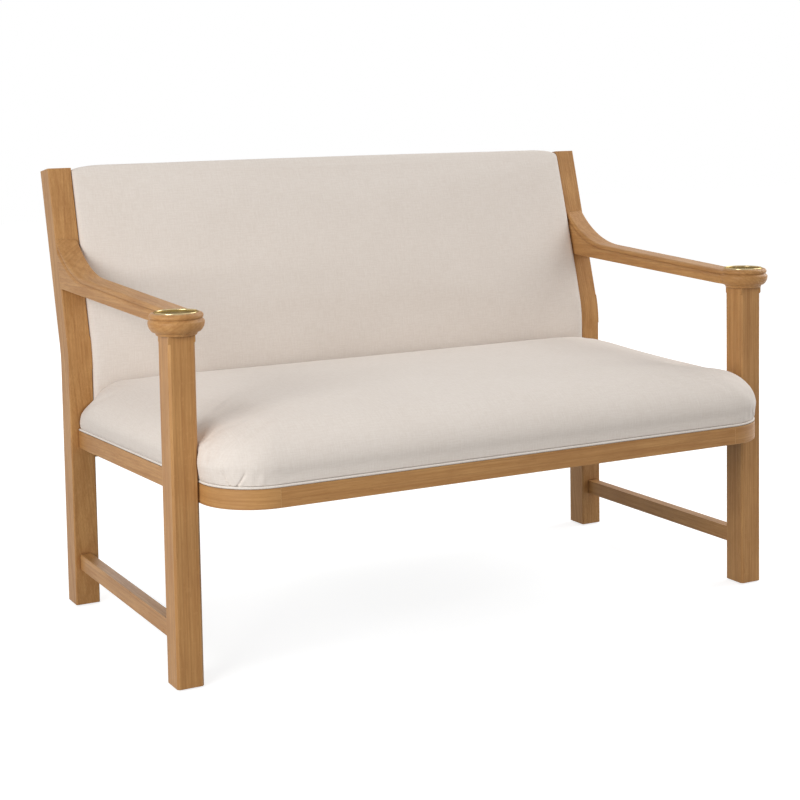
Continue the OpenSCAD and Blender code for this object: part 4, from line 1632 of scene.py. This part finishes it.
@dataclass
class Upholstery:
    """The padded and cloth pieces that stand for the model's soft solids."""

    finishes: Finishes
    lines: FrameLines
    stuffing: Stuffing = field(default_factory=Stuffing)

    def dress(self, piece: Piece, cloth: Material, nodes: Iterable[str]) -> None:
        """Gives a piece its cloth and its place on the frame.

        Args:
            piece: The piece.
            cloth: Its material.
            nodes: The model's nodes that it stands for.
        """
        piece.data.materials.clear()
        piece.data.materials.append(cloth)
        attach(piece, BODY)
        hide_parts(*nodes)
        log.info("%s: %d faces", piece.name, len(piece.data.polygons))

    def build(self) -> None:
        """Builds the padding, the piping and the sheets."""
        line = BackLine(self.lines)
        self.build_padding(line)
        self.dress(SeatPiping(self.lines).build(), self.finishes.piping, ("seat_welt",))
        self.build_sheets(line)

    def build_padding(self, line: BackLine) -> None:
        """Builds the seat and the back, which are filled together.

        Args:
            line: The back's line.
        """
        back = BackCushion(line)
        seat = SeatCushion(self.lines, back)
        pieces = {"back": (back, back.form()), "seat": (seat, seat.form())}
        for _, piece in pieces.values():
            self.stuffing.even_out(piece)
        self.stuffing.fill({n: (p, maker.held(read_points(p.data))) for n, (maker, p) in pieces.items()})
        for maker, piece in pieces.values():
            finish_soft(piece)
            maker.keep_in(piece)
        seat.sew_tucks(pieces["seat"][1])
        self.dress(pieces["back"][1], self.finishes.linen, ("back_cover", "back_foam"))
        self.dress(pieces["seat"][1], self.finishes.linen, ("seat_cover", "seat_foam"))

    def build_sheets(self, line: BackLine) -> None:
        """Builds the outside back and the cloth under the seat.

        Args:
            line: The back's line.
        """
        outside = OutsideBack(line)
        panel = outside.build()
        self.dress(panel, self.finishes.linen, ("outside_back",))
        outside.flat
        log.info("the outside back is cut %.3f by %.3f m", *outside.flat)
        cloth = DustCloth(self.lines)
        under = cloth.build()
        self.dress(under, self.finishes.lining, ("dust_cover",))
        cloth.flat()
        cloth.area()
        log.info("the dust cloth is cut from %.3f by %.3f m", *cloth.flat())


def dress_node(node: str, finish: Material) -> None:
    """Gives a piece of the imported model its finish.

    Args:
        node: The piece's node.
        finish: Its material.
    """
    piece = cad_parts[node]
    if not piece.material_slots:
        piece.data.materials.append(finish)
    for slot in piece.material_slots:
        slot.material = finish
    log.info("%s is finished in %s", node, finish.name)


@dataclass(frozen=True)
class Timber:
    """One kind of wood and the pieces made of it, in the order in which their boards are cut."""

    name: str
    first_board: int
    runs: tuple[tuple[GrainRun, tuple[str, ...]], ...]
    looks: dict[str, object] = field(default_factory=dict)

    def build(self, effects: Effects, turn_at: tuple[float, float]) -> None:
        """Gives each piece its own board.

        Args:
            effects: The shared effects.
            turn_at: Middle of the rounded front corners, which their grain goes round.
        """
        boards = [(node, run) for run, nodes in self.runs for node in nodes]
        for seed, (node, run) in enumerate(boards, start=self.first_board):
            finish = BoardFinish(f"{self.name}_{node}", run, float(seed), turn_at=turn_at, **self.looks)
            dress_node(node, finish.material(effects))


OAK = Timber("oak", 1, (
    (GrainRun.UPRIGHT, pair("front_post")),
    (GrainRun.LEANING, pair("back_post")),
    (GrainRun.FRONT_TO_BACK, pair("arm") + pair("side_stretcher")),
    (GrainRun.SIDE_TO_SIDE, ("front_rail",)),
    (GrainRun.ROUND_CORNER, pair("rail_corner")),
    (GrainRun.FRONT_TO_BACK, pair("side_rail")),
    (GrainRun.UPRIGHT, ("bolt_plugs",)),
))
SAWN = Timber(
    "sawn",
    20,
    (
        (GrainRun.SIDE_TO_SIDE, ("back_rail", "back_top_rail", "back_lower_rail")),
        (GrainRun.SIDE_TO_SIDE, (*pair("front_block"), *pair("back_block"), "rail_dowels")),
        (GrainRun.UPRIGHT, ("arm_dowels",)),
    ),
    {
        "pale": (0.86, 0.76, 0.60),
        "body": (0.78, 0.66, 0.49),
        "late": (0.66, 0.53, 0.37),
        "roughness": 0.8,
        "lacquer": 0.0,
    },
)


@dataclass
class Fittings:
    """The brass dishes in the arm ends, the fasteners, the glides and the straps."""

    effects: Effects
    finishes: Finishes

    def build(self) -> None:
        """Dresses each of them."""
        for node in pair("brass_cup"):
            low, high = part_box(node)
            finish = BrassFinish(f"brass_{node}", tuple((low + high) / 2), (high.x - low.x) / 2)
            dress_node(node, finish.material(self.effects))
        finishes = {
            self.finishes.steel: ("block_screws", "post_bolts", "arm_bolts"),
            self.finishes.nylon: ("foot_glides",),
            self.finishes.jute: ("seat_webbing", "back_webbing"),
        }
        for finish, nodes in finishes.items():
            for node in nodes:
                dress_node(node, finish)


@dataclass(frozen=True)
class PhotoCamera:
    """The camera at the photograph's viewing angle."""

    place: Point = (-1.6335, -2.96952, 1.0079)
    yaw: float = math.radians(27.676)
    pitch: float = math.radians(-4.582)
    roll: float = math.radians(-1.041)
    lens: float = 74.7
    sensor: float = 36.0
    shift: tuple[float, float] = (0.025, -0.2)

    def build(self) -> None:
        """Makes the camera and points it."""
        flat = Vector((math.sin(self.yaw), math.cos(self.yaw), 0.0))
        ahead = flat * math.cos(self.pitch) + Vector((0.0, 0.0, math.sin(self.pitch)))
        level = Vector((math.cos(self.yaw), -math.sin(self.yaw), 0.0))
        over = level.cross(ahead)
        right = math.cos(self.roll) * level + math.sin(self.roll) * over
        up = math.cos(self.roll) * over - math.sin(self.roll) * level
        data = bpy.data.cameras.new("camera")
        data.lens, data.sensor_width = self.lens, self.sensor
        data.shift_x, data.shift_y = self.shift
        camera = bpy.data.objects.new("camera", data)
        axes = Matrix((right, up, -ahead)).transposed().to_4x4()
        camera.matrix_world = Matrix.Translation(self.place) @ axes
        bpy.context.scene.collection.objects.link(camera)
        bpy.context.scene.camera = camera


@dataclass(frozen=True)
class Lamp:
    """One soft square lamp, aimed at the seat."""

    name: str
    place: Point
    size: float
    power: float
    aim: Point = (0.0, 0.0, 0.45)

    def build(self) -> None:
        """Hangs the lamp and aims it."""
        data = bpy.data.lights.new(self.name, "AREA")
        data.shape, data.size, data.energy = "SQUARE", self.size, self.power
        lamp = bpy.data.objects.new(self.name, data)
        lamp.location = self.place
        lamp.rotation_euler = (Vector(self.aim) - Vector(self.place)).to_track_quat("-Z", "Y").to_euler()
        bpy.context.scene.collection.objects.link(lamp)


@dataclass
class Studio:
    """A pale floor, a white backdrop and plain soft light."""

    ambient: float = 0.49
    floor_size: float = 24.0
    floor_bounce: tuple[float, ...] = (0.46, 0.455, 0.45, 1.0)
    floor_seen: tuple[float, ...] = (0.5, 0.5, 0.5, 1.0)
    floor_glow: float = 0.78
    lamps: tuple[Lamp, ...] = (
        Lamp("left_lamp", (-2.84, -1.64, 1.33), 1.6, 53.0),
        Lamp("right_lamp", (3.9, 0.0, 2.7), 3.2, 108.0),
        Lamp("small_lamp", (1.2, -3.3, 3.3), 0.5, 6.0),
        Lamp("back_lamp", (0.6, 3.9, 1.6), 2.4, 26.0),
    )

    @staticmethod
    def seen(wires: Wiring) -> Output:
        """A mask of 1 where the camera, a reflection or glass sees the surface.

        Args:
            wires: The tree that needs it.

        Returns:
            The output socket.
        """
        path = wires.add("LightPath").outputs
        straight = wires.math("ADD", path["Is Camera Ray"], path["Is Glossy Ray"])
        return wires.math("ADD", straight, path["Is Transmission Ray"], clamp=True)

    def build(self) -> None:
        """Lays the floor, lights the backdrop and hangs the lamps."""
        scene = bpy.context.scene
        world = bpy.data.worlds.new("studio")
        world.use_nodes = True
        wires = Wiring(world.node_tree)
        sky = world.node_tree.nodes["Background"]
        wires.join((1.0, 1.0, 1.0, 1.0), sky.inputs["Color"])
        light = wires.math("MULTIPLY_ADD", self.seen(wires), 1.0 - self.ambient, self.ambient)
        wires.join(light, sky.inputs["Strength"])
        scene.world = world
        half = self.floor_size / 2
        mesh = bpy.data.meshes.new("floor")
        corners = [(-half, -half, 0), (half, -half, 0), (half, half, 0), (-half, half, 0)]
        mesh.from_pydata(corners, [], [(0, 1, 2, 3)])
        floor = show(mesh, "floor")
        mesh.materials.append(self.floor_finish())
        for lamp in self.lamps:
            lamp.build()
        scene.view_settings.view_transform = "Standard"
        log.info("studio: floor, backdrop and %d lamps", len(self.lamps))

    def floor_finish(self) -> Material:
        """Mixes the pale floor, which reads white but keeps the settee's shadow.

        Returns:
            The material.
        """
        material = bpy.data.materials.new("pale_floor")
        material.use_nodes = True
        tree = material.node_tree
        tree.nodes.clear()
        wires = Wiring(tree)
        seen = self.seen(wires)
        tone = wires.blend(seen, self.floor_bounce, self.floor_seen)
        matt = wires.add("BsdfDiffuse", {"Color": tone}).outputs[0]
        glow = wires.add("Emission", {"Strength": wires.math("MULTIPLY", seen, self.floor_glow)}).outputs[0]
        both = wires.add("AddShader", {0: matt, 1: glow}).outputs[0]
        wires.join(both, wires.add("OutputMaterial").inputs["Surface"])
        return material


def main() -> None:
    """Builds the settee's looks in order."""
    logging.basicConfig(level=logging.INFO, format="%(name)s: %(message)s")
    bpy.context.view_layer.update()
    PhotoCamera().build()
    Studio().build()
    effects = Effects()
    finishes = Finishes.mix(effects)
    lines = FrameLines.read()
    for timber in (OAK, SAWN):
        timber.build(effects, (lines.corner_x, lines.corner_y))
    Fittings(effects, finishes).build()
    Upholstery(finishes, lines).build()
    log.info("sizes written")


if __name__ == "__main__":
    main()
